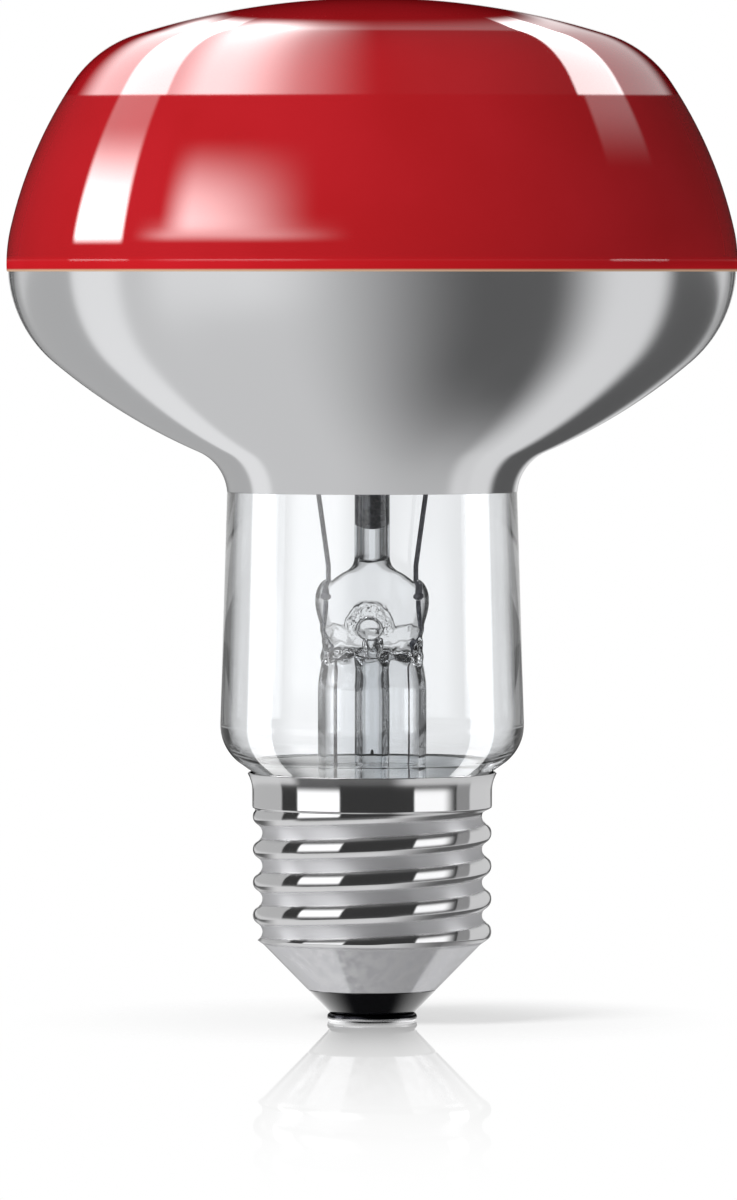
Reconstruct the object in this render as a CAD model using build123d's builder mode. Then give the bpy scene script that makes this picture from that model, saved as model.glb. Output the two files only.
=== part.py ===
from build123d import *
import os
from math import acos, asin, atan2, cos, degrees, hypot, radians, sin, sqrt, tan

# Reflector bulb with a coloured front, standing on the contact of its screw cap.
# Millimetres, Z up along the bulb's axis. The underside of the centre contact is at Z = 0.

# Outline of the blown envelope, crown to neck, as arcs that meet tangentially
BULB_HEIGHT = 112.0
BULB_DIAMETER = 79.8
FRONT_DEPTH = 29.0
CROWN_RADIUS = 85.3
SHOULDER_RADIUS = 12.65
SIDE_RADIUS = 48.15
UPPER_EQUATOR_RADIUS = 17.75
UPPER_EQUATOR_ANGLE = 13.0
LOWER_EQUATOR_RADIUS = 14.0
LOWER_EQUATOR_ANGLE = 50.0
BOWL_RADIUS = 65.0
NECK_FILLET_RADIUS = 5.2
NECK_RADIUS = 16.65
NECK_TAPER = 1.75
NECK_CURL_Z = 32.7
NECK_CURL_RADIUS = 5.2
NECK_CURL_ANGLE = 55.0
THROAT_RADIUS = 11.35
THROAT_FILLET_RADIUS = 2.0
THROAT_TAPER = 3.0
SEAL_Z = 19.0
GLASS_WALL = 0.8

# Coatings: a mirror film inside the bowl, a red lacquer skin outside the front
FILM_THICKNESS = 0.1
FILM_GAP = 0.04
COLOUR_LINE_DROP = 0.8
MIRROR_DEPTH = 24.9

# Glass stem: a flared tube pressed flat round the leads
STEM_TUBE_RADIUS = 5.95
STEM_TUBE_WALL = 0.75
STEM_TUBE_TOP_Z = 38.2
FLARE_BEND_RADIUS = 4.2
PRESS_DEPTH = 4.0
PRESS_BASE_Z = 41.6
PRESS_WAIST = 10.6
PRESS_EAR_WIDTH = 12.5
PRESS_EAR_Z = 46.1
PRESS_EAR_TOP_Z = 48.5
PRESS_DOME_RADIUS = 6.6
PRESS_DOME_Z = 43.4
STEM_CEILING_Z = 40.4
CEILING_WIDTH = 9.2
CEILING_DEPTH = 4.4

# Exhaust tube, its blow hole in the press, and the rod above
ROD_RADIUS = 1.93
EXHAUST_BORE_RADIUS = 1.15
EXHAUST_TIP_Z = 12.5
EXHAUST_TIP_LENGTH = 3.2
EXHAUST_BORE_END_Z = 14.0
BLOW_HOLE_RADIUS = 1.4
BLOW_HOLE_Z = 43.1
BLOW_LIP_RADIUS = 0.55
ROD_FOOT_Z = 50.2
ROD_TOP_DROP = 17.0
BUTTON_RADIUS = 2.6
BUTTON_HEIGHT = 2.8
BUTTON_EDGE_RADIUS = 0.6
CORE_RADIUS = 1.28
CORE_END_RADIUS = 1.2
CORE_BOTTOM_SHARE = 0.24
CORE_TOP_SHARE = 0.92

# Wires
INNER_LEAD_RADIUS = 0.27
OUTER_LEAD_RADIUS = 0.2
DUMET_RADIUS = 0.18
SIDE_LEAD_RADIUS = 0.1
SUPPORT_RADIUS = 0.15
KNOT_RADIUS = 0.4
KNOT_Z = 46.6
LEAD_SPACING = 9.6
OUTER_LEAD_SPACING = 8.1
WIRE_GAP = 0.02
LEAD_BEND = 3.0
DUMET_BEND = 1.0
DUMET_KINK_Z = 42.8
DUMET_FOOT_RUN = 1.0
LEAD_RISE_Z = 50.0
LEAD_LEAN_X = 5.9
LEAD_LEAN_SHARE = 0.4
LEAD_SHOULDER_DROP = 7.0
LEAD_END_RISE = 1.2
SIDE_LEAD_CLEARANCE = 0.1
SIDE_LEAD_DROP = 0.5
SIDE_LEAD_RIM_GAP = 0.38
SIDE_LEAD_END_GAP = 0.28
SIDE_LEAD_BEND = 0.5

# Filament: a wound coil bent to a C in a level plane, held by hooks
FILAMENT_RING_RADIUS = 8.0
FILAMENT_DROP = 6.0
FILAMENT_COIL_RADIUS = 0.35
FILAMENT_OPENING = 120.0
SUPPORT_COUNT = 3
SUPPORT_STEP = 60.0
SUPPORT_ROOT_RADIUS = 1.2
HOOK_GAP = 0.05
HOOK_TURN = 270

# Screw cap: thin sheet with a rolled round thread
CAP_SHEET = 0.28
THREAD_ROOT_RADIUS = 12.05
THREAD_CREST_RADIUS = 13.1
THREAD_PITCH = 3.62
THREAD_TURNS = 5.25
THREAD_START_Z = 6.16
THREAD_MERGE = 0.03
BAND_RADIUS = 13.15
BAND_BOTTOM_Z = 23.4
BAND_TOP_Z = 26.4
BAND_STEP = 0.6
RIM_RADIUS = 13.75
RIM_Z = 27.3
CONE_TOP_RADIUS = 11.9
CONE_TOP_Z = 8.4
CONE_BOTTOM_RADIUS = 7.1
CONE_BOTTOM_Z = 3.5
THREAD_RUNOUT_Z = 9.3

# Insulator, contact, cement and solder
FIT_GAP = 0.02
CONTACT_RADIUS = 4.93
CONTACT_HEIGHT = 0.9
CONTACT_EDGE_RADIUS = 0.4
DIMPLE_RADIUS = 2.0
DIMPLE_DEPTH = 0.45
EYELET_RADIUS = 0.85
EYELET_BORE_RADIUS = 0.45
INSULATOR_FOOT_RADIUS = 4.75
INSULATOR_TOP_Z = 7.2
INSULATOR_DISH_Z = 5.2
INSULATOR_DISH_RADIUS = 6.5
CEMENT_TOP_Z = 26.8
CEMENT_SLOT_WIDTH = 1.0
CONTACT_SOLDER_RADIUS = 1.6
SOLDER_BOTTOM_Z = 0.04
SOLDER_RADIUS = 0.9

os.makedirs("parts", exist_ok=True)

# Heights that hang from the bulb's widest level
widest_z = BULB_HEIGHT - FRONT_DEPTH
colour_line_z = widest_z - COLOUR_LINE_DROP
mirror_edge_z = widest_z - MIRROR_DEPTH
filament_z = widest_z - FILAMENT_DROP
lead_shoulder_z = filament_z - LEAD_SHOULDER_DROP
lead_lean_z = LEAD_RISE_Z + LEAD_LEAN_SHARE * (lead_shoulder_z - LEAD_RISE_Z)
rod_top_z = widest_z - ROD_TOP_DROP
rod_length = rod_top_z - ROD_FOOT_Z
core_bottom_z = ROD_FOOT_Z + CORE_BOTTOM_SHARE * rod_length
core_top_z = ROD_FOOT_Z + CORE_TOP_SHARE * rod_length


def direction(angle):
    """Unit vector at an angle in degrees above the horizontal, in the plane of a half section."""
    return Vector(cos(radians(angle)), sin(radians(angle)))


def angle_of(vector):
    return degrees(atan2(vector.Y, vector.X))


def outer_meeting_point(centre_a, reach_a, centre_b, reach_b):
    """The point at two given distances from two centres, on the side away from the axis."""
    between = centre_b - centre_a
    span = between.length
    along = (reach_a ** 2 - reach_b ** 2 + span ** 2) / (2 * span)
    across = sqrt(reach_a ** 2 - along ** 2)
    step = between / span
    side = Vector(-step.Y, step.X) * across
    foot = centre_a + step * along
    return max(foot + side, foot - side, key=lambda point: point.X)


# Centres of the envelope's arcs, each found from its neighbours
equator_x = BULB_DIAMETER / 2
crown_centre = Vector(0, BULB_HEIGHT - CROWN_RADIUS)
upper_centre = Vector(equator_x - UPPER_EQUATOR_RADIUS, widest_z)
side_centre = upper_centre - direction(UPPER_EQUATOR_ANGLE) * (SIDE_RADIUS - UPPER_EQUATOR_RADIUS)
shoulder_centre = outer_meeting_point(
    crown_centre, CROWN_RADIUS - SHOULDER_RADIUS, side_centre, SIDE_RADIUS - SHOULDER_RADIUS
)
crown_end = angle_of(shoulder_centre - crown_centre)
shoulder_end = angle_of(shoulder_centre - side_centre)
lower_centre = Vector(equator_x - LOWER_EQUATOR_RADIUS, widest_z)
bowl_centre = lower_centre - direction(-LOWER_EQUATOR_ANGLE) * (BOWL_RADIUS - LOWER_EQUATOR_RADIUS)

# The neck is a cone; its top fillet touches both the cone and the bowl
curl_start = Vector(NECK_RADIUS, NECK_CURL_Z)
curl_centre = curl_start - direction(NECK_TAPER) * NECK_CURL_RADIUS
fillet_foot = curl_start + direction(NECK_TAPER) * NECK_FILLET_RADIUS
up_neck = direction(NECK_TAPER + 90)
to_bowl = fillet_foot - bowl_centre
climb = to_bowl.dot(up_neck)
fillet_reach = (BOWL_RADIUS + NECK_FILLET_RADIUS) ** 2 - to_bowl.dot(to_bowl) + climb ** 2
fillet_centre = fillet_foot - up_neck * (climb + sqrt(fillet_reach))
bowl_end = angle_of(fillet_centre - bowl_centre)

# The throat turns the neck's curl back to a nearly straight mouth
throat_turn = direction(-NECK_CURL_ANGLE)
curl_end = curl_centre + throat_turn * NECK_CURL_RADIUS
throat_mouth = direction(-THROAT_TAPER)
throat_centre_x = THROAT_RADIUS + THROAT_FILLET_RADIUS * throat_mouth.X
throat_start_x = throat_centre_x - THROAT_FILLET_RADIUS * throat_turn.X
throat_slope = (curl_end.X - throat_start_x) / cos(radians(90 - NECK_CURL_ANGLE))
throat_start = curl_end - direction(90 - NECK_CURL_ANGLE) * throat_slope
throat_centre = throat_start + throat_turn * THROAT_FILLET_RADIUS
throat_end = throat_centre - throat_mouth * THROAT_FILLET_RADIUS


def mouth_radius(z, inset):
    """Radius of the straight mouth at a height, at a depth below the outer surface."""
    drop = throat_end.Y - z
    return throat_end.X - drop * tan(radians(THROAT_TAPER)) - inset / cos(radians(THROAT_TAPER))


def envelope_line(inset):
    """Draw the envelope's half section at an even depth under its outer surface."""
    crown = CenterArc(crown_centre, CROWN_RADIUS - inset, 90, crown_end - 90)
    CenterArc(shoulder_centre, SHOULDER_RADIUS - inset, crown_end, shoulder_end - crown_end)
    CenterArc(side_centre, SIDE_RADIUS - inset, shoulder_end, UPPER_EQUATOR_ANGLE - shoulder_end)
    CenterArc(upper_centre, UPPER_EQUATOR_RADIUS - inset, UPPER_EQUATOR_ANGLE, -UPPER_EQUATOR_ANGLE)
    CenterArc(lower_centre, LOWER_EQUATOR_RADIUS - inset, 0, -LOWER_EQUATOR_ANGLE)
    bowl_turn = bowl_end + LOWER_EQUATOR_ANGLE
    CenterArc(bowl_centre, BOWL_RADIUS - inset, -LOWER_EQUATOR_ANGLE, bowl_turn)
    fillet_turn = NECK_TAPER - bowl_end
    fillet_arc = CenterArc(fillet_centre, NECK_FILLET_RADIUS + inset, bowl_end + 180, fillet_turn)
    curl_turn = -NECK_CURL_ANGLE - NECK_TAPER
    curl = CenterArc(curl_centre, NECK_CURL_RADIUS - inset, NECK_TAPER, curl_turn)
    throat_size = NECK_CURL_ANGLE - THROAT_TAPER
    throat_angle = 180 - NECK_CURL_ANGLE
    throat = CenterArc(throat_centre, THROAT_FILLET_RADIUS + inset, throat_angle, throat_size)
    mouth = Line(throat @ 1, (mouth_radius(SEAL_Z, inset), SEAL_Z))
    Line(fillet_arc @ 1, curl @ 0)
    Line(curl @ 1, throat @ 0)
    return crown @ 0, mouth @ 1


def envelope_skin(outer_inset, inner_inset):
    """Add the turned layer between two depths of the envelope to the part being built."""
    with BuildSketch(Plane.XZ) as section:
        with BuildLine():
            outer_top, outer_foot = envelope_line(outer_inset)
            inner_top, inner_foot = envelope_line(inner_inset)
            Line(outer_top, inner_top)
            Line(outer_foot, inner_foot)
        make_face()
    revolve(section.sketch, axis=Axis.Z)


def wire(route, radius, bend=0.0, mode=Mode.ADD):
    """Sweep a round wire along straight runs joined by bends, starting square to the first run."""
    points = [Vector(*point) for point in route]
    with BuildLine() as path:
        if bend > 0:
            FilletPolyline(*points, radius=bend)
        else:
            Polyline(*points)
    with BuildSketch(Plane(origin=points[0], z_dir=points[1] - points[0])) as section:
        Circle(radius)
    sweep(section.sketch, path=path.wires()[0], mode=mode)


def save(part, name):
    part.label = name
    export_step(part, "parts/" + name + ".step")


# Blown glass envelope, one wall from crown to the seal inside the cap
with BuildPart() as glass_envelope:
    envelope_skin(0, GLASS_WALL)
save(glass_envelope.part, "glass_envelope")

# Aluminium mirror film on the inside of the bowl
with BuildPart() as mirror_coating:
    envelope_skin(GLASS_WALL + FILM_GAP, GLASS_WALL + FILM_GAP + FILM_THICKNESS)
    split(bisect_by=Plane.XY.offset(colour_line_z), keep=Keep.BOTTOM)
    split(bisect_by=Plane.XY.offset(mirror_edge_z), keep=Keep.TOP)
save(mirror_coating.part, "mirror_coating")

# Red lacquer skin over the front of the bulb
with BuildPart() as red_lacquer:
    envelope_skin(-FILM_GAP - FILM_THICKNESS, -FILM_GAP)
    split(bisect_by=Plane.XY.offset(colour_line_z), keep=Keep.TOP)
save(red_lacquer.part, "red_lacquer")

# Routes of the wires; the left side mirrors the right
lead_x = LEAD_SPACING / 2
outer_lead_x = OUTER_LEAD_SPACING / 2
filament_end_angle = FILAMENT_OPENING / 2 - 90
lead_top = direction(filament_end_angle) * FILAMENT_RING_RADIUS


def inner_lead_route(side):
    return [
        (side * lead_x, 0, KNOT_Z),
        (side * lead_x, 0, LEAD_RISE_Z),
        (side * LEAD_LEAN_X, 0, lead_lean_z),
        (side * lead_top.X, lead_top.Y, lead_shoulder_z),
        (side * lead_top.X, lead_top.Y, filament_z + LEAD_END_RISE),
    ]


def dumet_route(side):
    return [
        (side * lead_x, 0, KNOT_Z - KNOT_RADIUS - WIRE_GAP),
        (side * lead_x, 0, DUMET_KINK_Z),
        (side * outer_lead_x, 0, STEM_CEILING_Z + DUMET_FOOT_RUN),
        (side * outer_lead_x, 0, STEM_CEILING_Z),
    ]


def support_path(angle):
    """Route of one support: out of the button, then three quarters round the coil."""
    upright = Plane(origin=(0, 0, 0), x_dir=(cos(angle), sin(angle), 0), z_dir=(sin(angle), -cos(angle), 0))
    loop_radius = FILAMENT_COIL_RADIUS + HOOK_GAP + SUPPORT_RADIUS
    root = Vector(SUPPORT_ROOT_RADIUS, rod_top_z + BUTTON_HEIGHT / 2)
    loop_centre = Vector(FILAMENT_RING_RADIUS, filament_z)
    reach = loop_centre - root
    heading = angle_of(reach) - degrees(asin(loop_radius / reach.length))
    loop_start = loop_centre + direction(heading - 90) * loop_radius
    with BuildLine(upright) as path:
        foot = Line((root.X, root.Y), (loop_start.X, loop_start.Y))
        CenterArc((loop_centre.X, loop_centre.Y), loop_radius, heading - 90, HOOK_TURN)
    return path.wires()[0], Plane(origin=foot @ 0, z_dir=foot % 0)


def support_wire(angle, radius, mode=Mode.ADD):
    path, start = support_path(angle)
    with BuildSketch(start) as section:
        Circle(radius)
    sweep(section.sketch, path=path, mode=mode)


support_angles = [radians(90 + (n - (SUPPORT_COUNT - 1) / 2) * SUPPORT_STEP) for n in range(SUPPORT_COUNT)]

# Flared stem tube, its flat press round the leads, and the blow hole
press_front = PRESS_DEPTH / 2
flare_centre = (STEM_TUBE_RADIUS + FLARE_BEND_RADIUS, SEAL_Z + FLARE_BEND_RADIUS)
seal_radius = mouth_radius(SEAL_Z, 0)
tube_inside = STEM_TUBE_RADIUS - STEM_TUBE_WALL
lip_z = SEAL_Z - STEM_TUBE_WALL
ear_x = PRESS_EAR_WIDTH / 2
dome_edge_angle = degrees(asin((lead_x - INNER_LEAD_RADIUS) / PRESS_DOME_RADIUS))

with BuildPart() as stem_flare:
    with BuildSketch(Plane.XZ):
        with BuildLine():
            upper_bend = CenterArc(flare_centre, FLARE_BEND_RADIUS, 180, 90)
            lower_bend = CenterArc(flare_centre, FLARE_BEND_RADIUS + STEM_TUBE_WALL, 180, 90)
            outer_line = Line((STEM_TUBE_RADIUS, STEM_TUBE_TOP_Z), upper_bend @ 0)
            inner_line = Line((tube_inside, STEM_TUBE_TOP_Z), lower_bend @ 0)
            Line(outer_line @ 0, inner_line @ 0)
            Polyline(upper_bend @ 1, (seal_radius, SEAL_Z), (seal_radius, lip_z), lower_bend @ 1)
        make_face()
    revolve(axis=Axis.Z)

    # The tube goes from round to flat on its way into the press
    with BuildSketch(Plane.XY.offset(STEM_TUBE_TOP_Z)):
        Circle(STEM_TUBE_RADIUS)
    with BuildSketch(Plane.XY.offset(PRESS_BASE_Z)):
        SlotOverall(PRESS_WAIST, PRESS_DEPTH)
    loft()

    # Flat press with an ear round each lead and a domed top
    with BuildSketch(Plane.XZ.offset(-press_front)):
        with BuildLine():
            foot = Line((0, PRESS_BASE_Z), (PRESS_WAIST / 2, PRESS_BASE_Z))
            flank = TangentArc(foot @ 1, (ear_x, PRESS_EAR_Z), tangent=(0, 1), tangent_from_first=False)
            dome = CenterArc((0, PRESS_DOME_Z), PRESS_DOME_RADIUS, 90 - dome_edge_angle, dome_edge_angle)
            ear_top = Line(dome @ 0, (lead_x + INNER_LEAD_RADIUS, PRESS_EAR_TOP_Z))
            TangentArc(flank @ 1, ear_top @ 1, tangent=(0, 1))
            Line(dome @ 1, foot @ 0)
        make_face()
        mirror(about=Plane.YZ)
    extrude(amount=PRESS_DEPTH)
    with BuildSketch(Plane.XY.offset(PRESS_DOME_Z)):
        Circle(ROD_RADIUS)
    extrude(amount=ROD_FOOT_Z - PRESS_DOME_Z)
    with Locations((0, -press_front, BLOW_HOLE_Z)):
        Torus(BLOW_HOLE_RADIUS + BLOW_LIP_RADIUS, BLOW_LIP_RADIUS, rotation=(90, 0, 0))

    # Hollow under the press, blow hole and bore
    with BuildSketch(Plane.XY.offset(STEM_TUBE_TOP_Z)):
        Circle(tube_inside)
    with BuildSketch(Plane.XY.offset(STEM_CEILING_Z)):
        SlotOverall(CEILING_WIDTH, CEILING_DEPTH)
    loft(mode=Mode.SUBTRACT)
    with BuildSketch(Plane.XZ):
        with Locations((0, BLOW_HOLE_Z)):
            Circle(BLOW_HOLE_RADIUS)
    extrude(amount=PRESS_DEPTH, mode=Mode.SUBTRACT)
    with BuildSketch(Plane.XY.offset(STEM_CEILING_Z)):
        Circle(EXHAUST_BORE_RADIUS)
    extrude(amount=BLOW_HOLE_Z - STEM_CEILING_Z, mode=Mode.SUBTRACT)

    # Channels that the sealed-in wires fill
    for side in (-1, 1):
        wire(inner_lead_route(side), INNER_LEAD_RADIUS + WIRE_GAP, LEAD_BEND, Mode.SUBTRACT)
        wire(dumet_route(side), DUMET_RADIUS + WIRE_GAP, DUMET_BEND, Mode.SUBTRACT)
        with Locations((side * lead_x, 0, KNOT_Z)):
            Sphere(KNOT_RADIUS + WIRE_GAP, mode=Mode.SUBTRACT)
save(stem_flare.part, "stem_flare")

# Exhaust tube, drawn out and closed at its lower tip
with BuildPart() as exhaust_tube:
    with BuildSketch(Plane.XZ):
        with BuildLine():
            tip_shoulder_z = EXHAUST_TIP_Z + EXHAUST_TIP_LENGTH
            outer_line = Line((ROD_RADIUS, STEM_CEILING_Z), (ROD_RADIUS, tip_shoulder_z))
            outer_tip = Spline(outer_line @ 1, (0, EXHAUST_TIP_Z), tangents=[(0, -1), (-1, 0)])
            bore_line = Line((EXHAUST_BORE_RADIUS, STEM_CEILING_Z), (EXHAUST_BORE_RADIUS, tip_shoulder_z))
            bore_tip = Spline(bore_line @ 1, (0, EXHAUST_BORE_END_Z), tangents=[(0, -1), (-1, 0)])
            Line(outer_line @ 0, bore_line @ 0)
            Line(outer_tip @ 1, bore_tip @ 1)
        make_face()
    revolve(axis=Axis.Z)
save(exhaust_tube.part, "exhaust_tube")

# Rod above the press with a button at its top for the filament supports
with BuildPart() as arbor_rod:
    with BuildSketch(Plane.XY.offset(ROD_FOOT_Z)):
        Circle(ROD_RADIUS)
    extrude(amount=rod_top_z - ROD_FOOT_Z)
    with BuildSketch(Plane.XY.offset(rod_top_z)):
        Circle(BUTTON_RADIUS)
    extrude(amount=BUTTON_HEIGHT)
    button_edges = arbor_rod.edges().filter_by(GeomType.CIRCLE).filter_by_position(
        Axis.Z, rod_top_z, rod_top_z + BUTTON_HEIGHT
    )
    fillet(button_edges.filter_by(lambda edge: edge.radius > ROD_RADIUS), radius=BUTTON_EDGE_RADIUS)
    with BuildSketch(Plane.XY.offset(ROD_FOOT_Z)):
        Circle(CORE_RADIUS + WIRE_GAP)
    extrude(amount=core_top_z + WIRE_GAP - ROD_FOOT_Z, mode=Mode.SUBTRACT)
    for angle in support_angles:
        support_wire(angle, SUPPORT_RADIUS + WIRE_GAP, Mode.SUBTRACT)
save(arbor_rod.part, "arbor_rod")

# Round-ended metal pin inside the rod
with BuildPart() as rod_core:
    with BuildSketch(Plane.XY.offset(core_bottom_z)):
        Circle(CORE_RADIUS)
    extrude(amount=core_top_z - core_bottom_z)
    fillet(rod_core.edges().group_by(Axis.Z)[0], radius=CORE_END_RADIUS)
save(rod_core.part, "rod_core")

# Inner leads with a weld knot at the foot, and the thin seal wires below them
side_names = {-1: "left", 1: "right"}
for side, side_name in side_names.items():
    with BuildPart() as inner_lead:
        wire(inner_lead_route(side), INNER_LEAD_RADIUS, LEAD_BEND)
        with Locations((side * lead_x, 0, KNOT_Z)):
            Sphere(KNOT_RADIUS)
    save(inner_lead.part, "inner_lead_" + side_name)
    with BuildPart() as seal_wire:
        wire(dumet_route(side), DUMET_RADIUS, DUMET_BEND)
    save(seal_wire.part, "seal_wire_" + side_name)

# Lead from the left seal down to the centre contact
with BuildPart() as contact_lead:
    wire(
        [
            (-outer_lead_x, 0, STEM_CEILING_Z - WIRE_GAP),
            (-outer_lead_x, 0, EXHAUST_TIP_Z + EXHAUST_TIP_LENGTH),
            (0, 0, INSULATOR_TOP_Z),
            (0, 0, DIMPLE_DEPTH),
        ],
        OUTER_LEAD_RADIUS,
        LEAD_BEND,
    )
save(contact_lead.part, "contact_lead")

# Lead from the right seal under the flare, up between neck and shell to the rim at the back
shell_bore_radius = THREAD_ROOT_RADIUS + THREAD_MERGE - CAP_SHEET
side_lead_y = shell_bore_radius - SIDE_LEAD_RADIUS - SIDE_LEAD_CLEARANCE
side_lead_low_z = lip_z - SIDE_LEAD_RADIUS - SIDE_LEAD_DROP
band_bore_radius = BAND_RADIUS - CAP_SHEET
side_lead_route = [
    (outer_lead_x, 0, STEM_CEILING_Z - WIRE_GAP),
    (outer_lead_x, 0, SEAL_Z + FLARE_BEND_RADIUS),
    (outer_lead_x / 2, STEM_TUBE_RADIUS, side_lead_low_z),
    (0, side_lead_y, side_lead_low_z),
    (0, side_lead_y, BAND_BOTTOM_Z),
    (0, band_bore_radius - SIDE_LEAD_RIM_GAP, BAND_TOP_Z - SIDE_LEAD_RIM_GAP),
    (0, RIM_RADIUS - CAP_SHEET - SIDE_LEAD_END_GAP, RIM_Z),
]
with BuildPart() as side_lead:
    wire(side_lead_route, SIDE_LEAD_RADIUS, SIDE_LEAD_BEND)
save(side_lead.part, "side_lead")

# Filament coil, bent to a C between the two leads
with BuildPart() as filament:
    end_gap = degrees((INNER_LEAD_RADIUS + WIRE_GAP) / FILAMENT_RING_RADIUS)
    first_angle = filament_end_angle + end_gap
    with BuildLine(Plane.XY.offset(filament_z)):
        ring = CenterArc((0, 0), FILAMENT_RING_RADIUS, first_angle, 360 - FILAMENT_OPENING - 2 * end_gap)
    with BuildSketch(Plane(origin=ring @ 0, z_dir=ring % 0)):
        Circle(FILAMENT_COIL_RADIUS)
    sweep()
save(filament.part, "filament")

# Supports that hold the filament, with their feet sealed in the button
for number, angle in enumerate(support_angles, start=1):
    with BuildPart() as support:
        support_wire(angle, SUPPORT_RADIUS)
    save(support.part, "support_wire_" + str(number))


def thread_section(inset):
    """Axial section of one ridge of the round thread, drawn at an even depth under its surface."""
    depth = THREAD_CREST_RADIUS - THREAD_ROOT_RADIUS
    half_pitch = THREAD_PITCH / 2
    round_radius = (half_pitch ** 2 / 4 + depth ** 2 / 4) / depth
    crest_x = THREAD_CREST_RADIUS - round_radius
    root_x = THREAD_ROOT_RADIUS + round_radius
    turn = degrees(atan2(half_pitch, root_x - crest_x))
    crest_radius = round_radius - inset
    root_radius = round_radius + inset
    stop = degrees(acos(1 - THREAD_MERGE / root_radius)) / 2
    CenterArc((crest_x, 0), crest_radius, -turn, 2 * turn)
    upper_root = CenterArc((root_x, half_pitch), root_radius, 180 + stop, turn - stop)
    lower_root = CenterArc((root_x, -half_pitch), root_radius, 180 - stop, stop - turn)
    inside_x = THREAD_ROOT_RADIUS - inset - CAP_SHEET
    upper_end = upper_root @ 0
    lower_end = lower_root @ 0
    Polyline(upper_end, (inside_x, upper_end.Y), (inside_x, lower_end.Y), lower_end)


def cap_form(inset):
    """Solid with the cap's outer form, drawn in evenly by the inset."""
    cone_inset = inset * hypot(1, cone_slope)
    rim_slope = (RIM_RADIUS - BAND_RADIUS) / (RIM_Z - BAND_TOP_Z)
    rim_inset = inset * hypot(1, rim_slope)
    cone_top_z = CONE_TOP_Z + (cone_inset - inset) / cone_slope
    rim_foot_z = BAND_TOP_Z + (rim_inset - inset) / rim_slope
    core_radius = THREAD_ROOT_RADIUS + THREAD_MERGE - inset
    helix_plane = Plane(origin=(0, 0, THREAD_START_Z), x_dir=(1, 0, 0), z_dir=(0, -1, 0))
    with BuildPart() as form:
        with BuildLine() as helix:
            Helix(THREAD_PITCH, THREAD_PITCH * THREAD_TURNS, THREAD_ROOT_RADIUS, center=(0, 0, THREAD_START_Z))
        with BuildSketch(helix_plane) as ridge:
            with BuildLine():
                thread_section(inset)
            make_face()
        sweep(ridge.sketch, path=helix.wires()[0], is_frenet=True)
        with BuildSketch(Plane.XY) as core:
            Circle(core_radius)
        extrude(core.sketch, amount=RIM_Z)

        # The ridge fades out just above the cone and ends inside the plain band
        with BuildSketch(Plane.XZ) as thread_limit:
            with BuildLine():
                Polyline(
                    (0, cone_top_z),
                    (CONE_TOP_RADIUS - inset, cone_top_z),
                    (BAND_RADIUS, THREAD_RUNOUT_Z),
                    (BAND_RADIUS, RIM_Z),
                    (0, RIM_Z),
                    close=True,
                )
            make_face()
        revolve(thread_limit.sketch, axis=Axis.Z, mode=Mode.INTERSECT)
        with BuildSketch(Plane.XZ) as cone:
            with BuildLine():
                Polyline(
                    (0, CONE_BOTTOM_Z),
                    (CONE_BOTTOM_RADIUS - cone_inset, CONE_BOTTOM_Z),
                    (CONE_TOP_RADIUS - inset, cone_top_z),
                    (0, cone_top_z),
                    close=True,
                )
            make_face()
        revolve(cone.sketch, axis=Axis.Z)
        with BuildSketch(Plane.XZ) as band:
            with BuildLine():
                Polyline(
                    (0, BAND_BOTTOM_Z - BAND_STEP),
                    (THREAD_ROOT_RADIUS - inset, BAND_BOTTOM_Z - BAND_STEP),
                    (BAND_RADIUS - inset, BAND_BOTTOM_Z),
                    (BAND_RADIUS - inset, rim_foot_z),
                    (RIM_RADIUS - rim_inset, RIM_Z),
                    (0, RIM_Z),
                    close=True,
                )
            make_face()
        revolve(band.sketch, axis=Axis.Z)
    return form.part


# Screw cap of thin sheet with a rolled thread that shows inside and out
cone_slope = (CONE_TOP_RADIUS - CONE_BOTTOM_RADIUS) / (CONE_TOP_Z - CONE_BOTTOM_Z)
with BuildPart() as cap_shell:
    add(cap_form(0))
    add(cap_form(CAP_SHEET), mode=Mode.SUBTRACT)
save(cap_shell.part, "cap_shell")

# Black glass insulator that fills the cone
seat_inset = (CAP_SHEET + FIT_GAP) * hypot(1, cone_slope)
seat_foot_radius = CONE_BOTTOM_RADIUS - seat_inset
seat_top_radius = seat_foot_radius + cone_slope * (INSULATOR_TOP_Z - CONE_BOTTOM_Z)
with BuildPart() as cap_insulator:
    with BuildSketch(Plane.XZ):
        with BuildLine():
            Polyline(
                (EYELET_RADIUS + FIT_GAP, CONTACT_HEIGHT),
                (INSULATOR_FOOT_RADIUS, CONTACT_HEIGHT),
                (CONE_BOTTOM_RADIUS, CONE_BOTTOM_Z - FIT_GAP),
                (seat_foot_radius, CONE_BOTTOM_Z - FIT_GAP),
                (seat_foot_radius, CONE_BOTTOM_Z),
                (seat_top_radius, INSULATOR_TOP_Z),
                (INSULATOR_DISH_RADIUS, INSULATOR_TOP_Z),
                (EYELET_RADIUS + FIT_GAP, INSULATOR_DISH_Z),
                close=True,
            )
        make_face()
    revolve(axis=Axis.Z)
save(cap_insulator.part, "cap_insulator")

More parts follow.
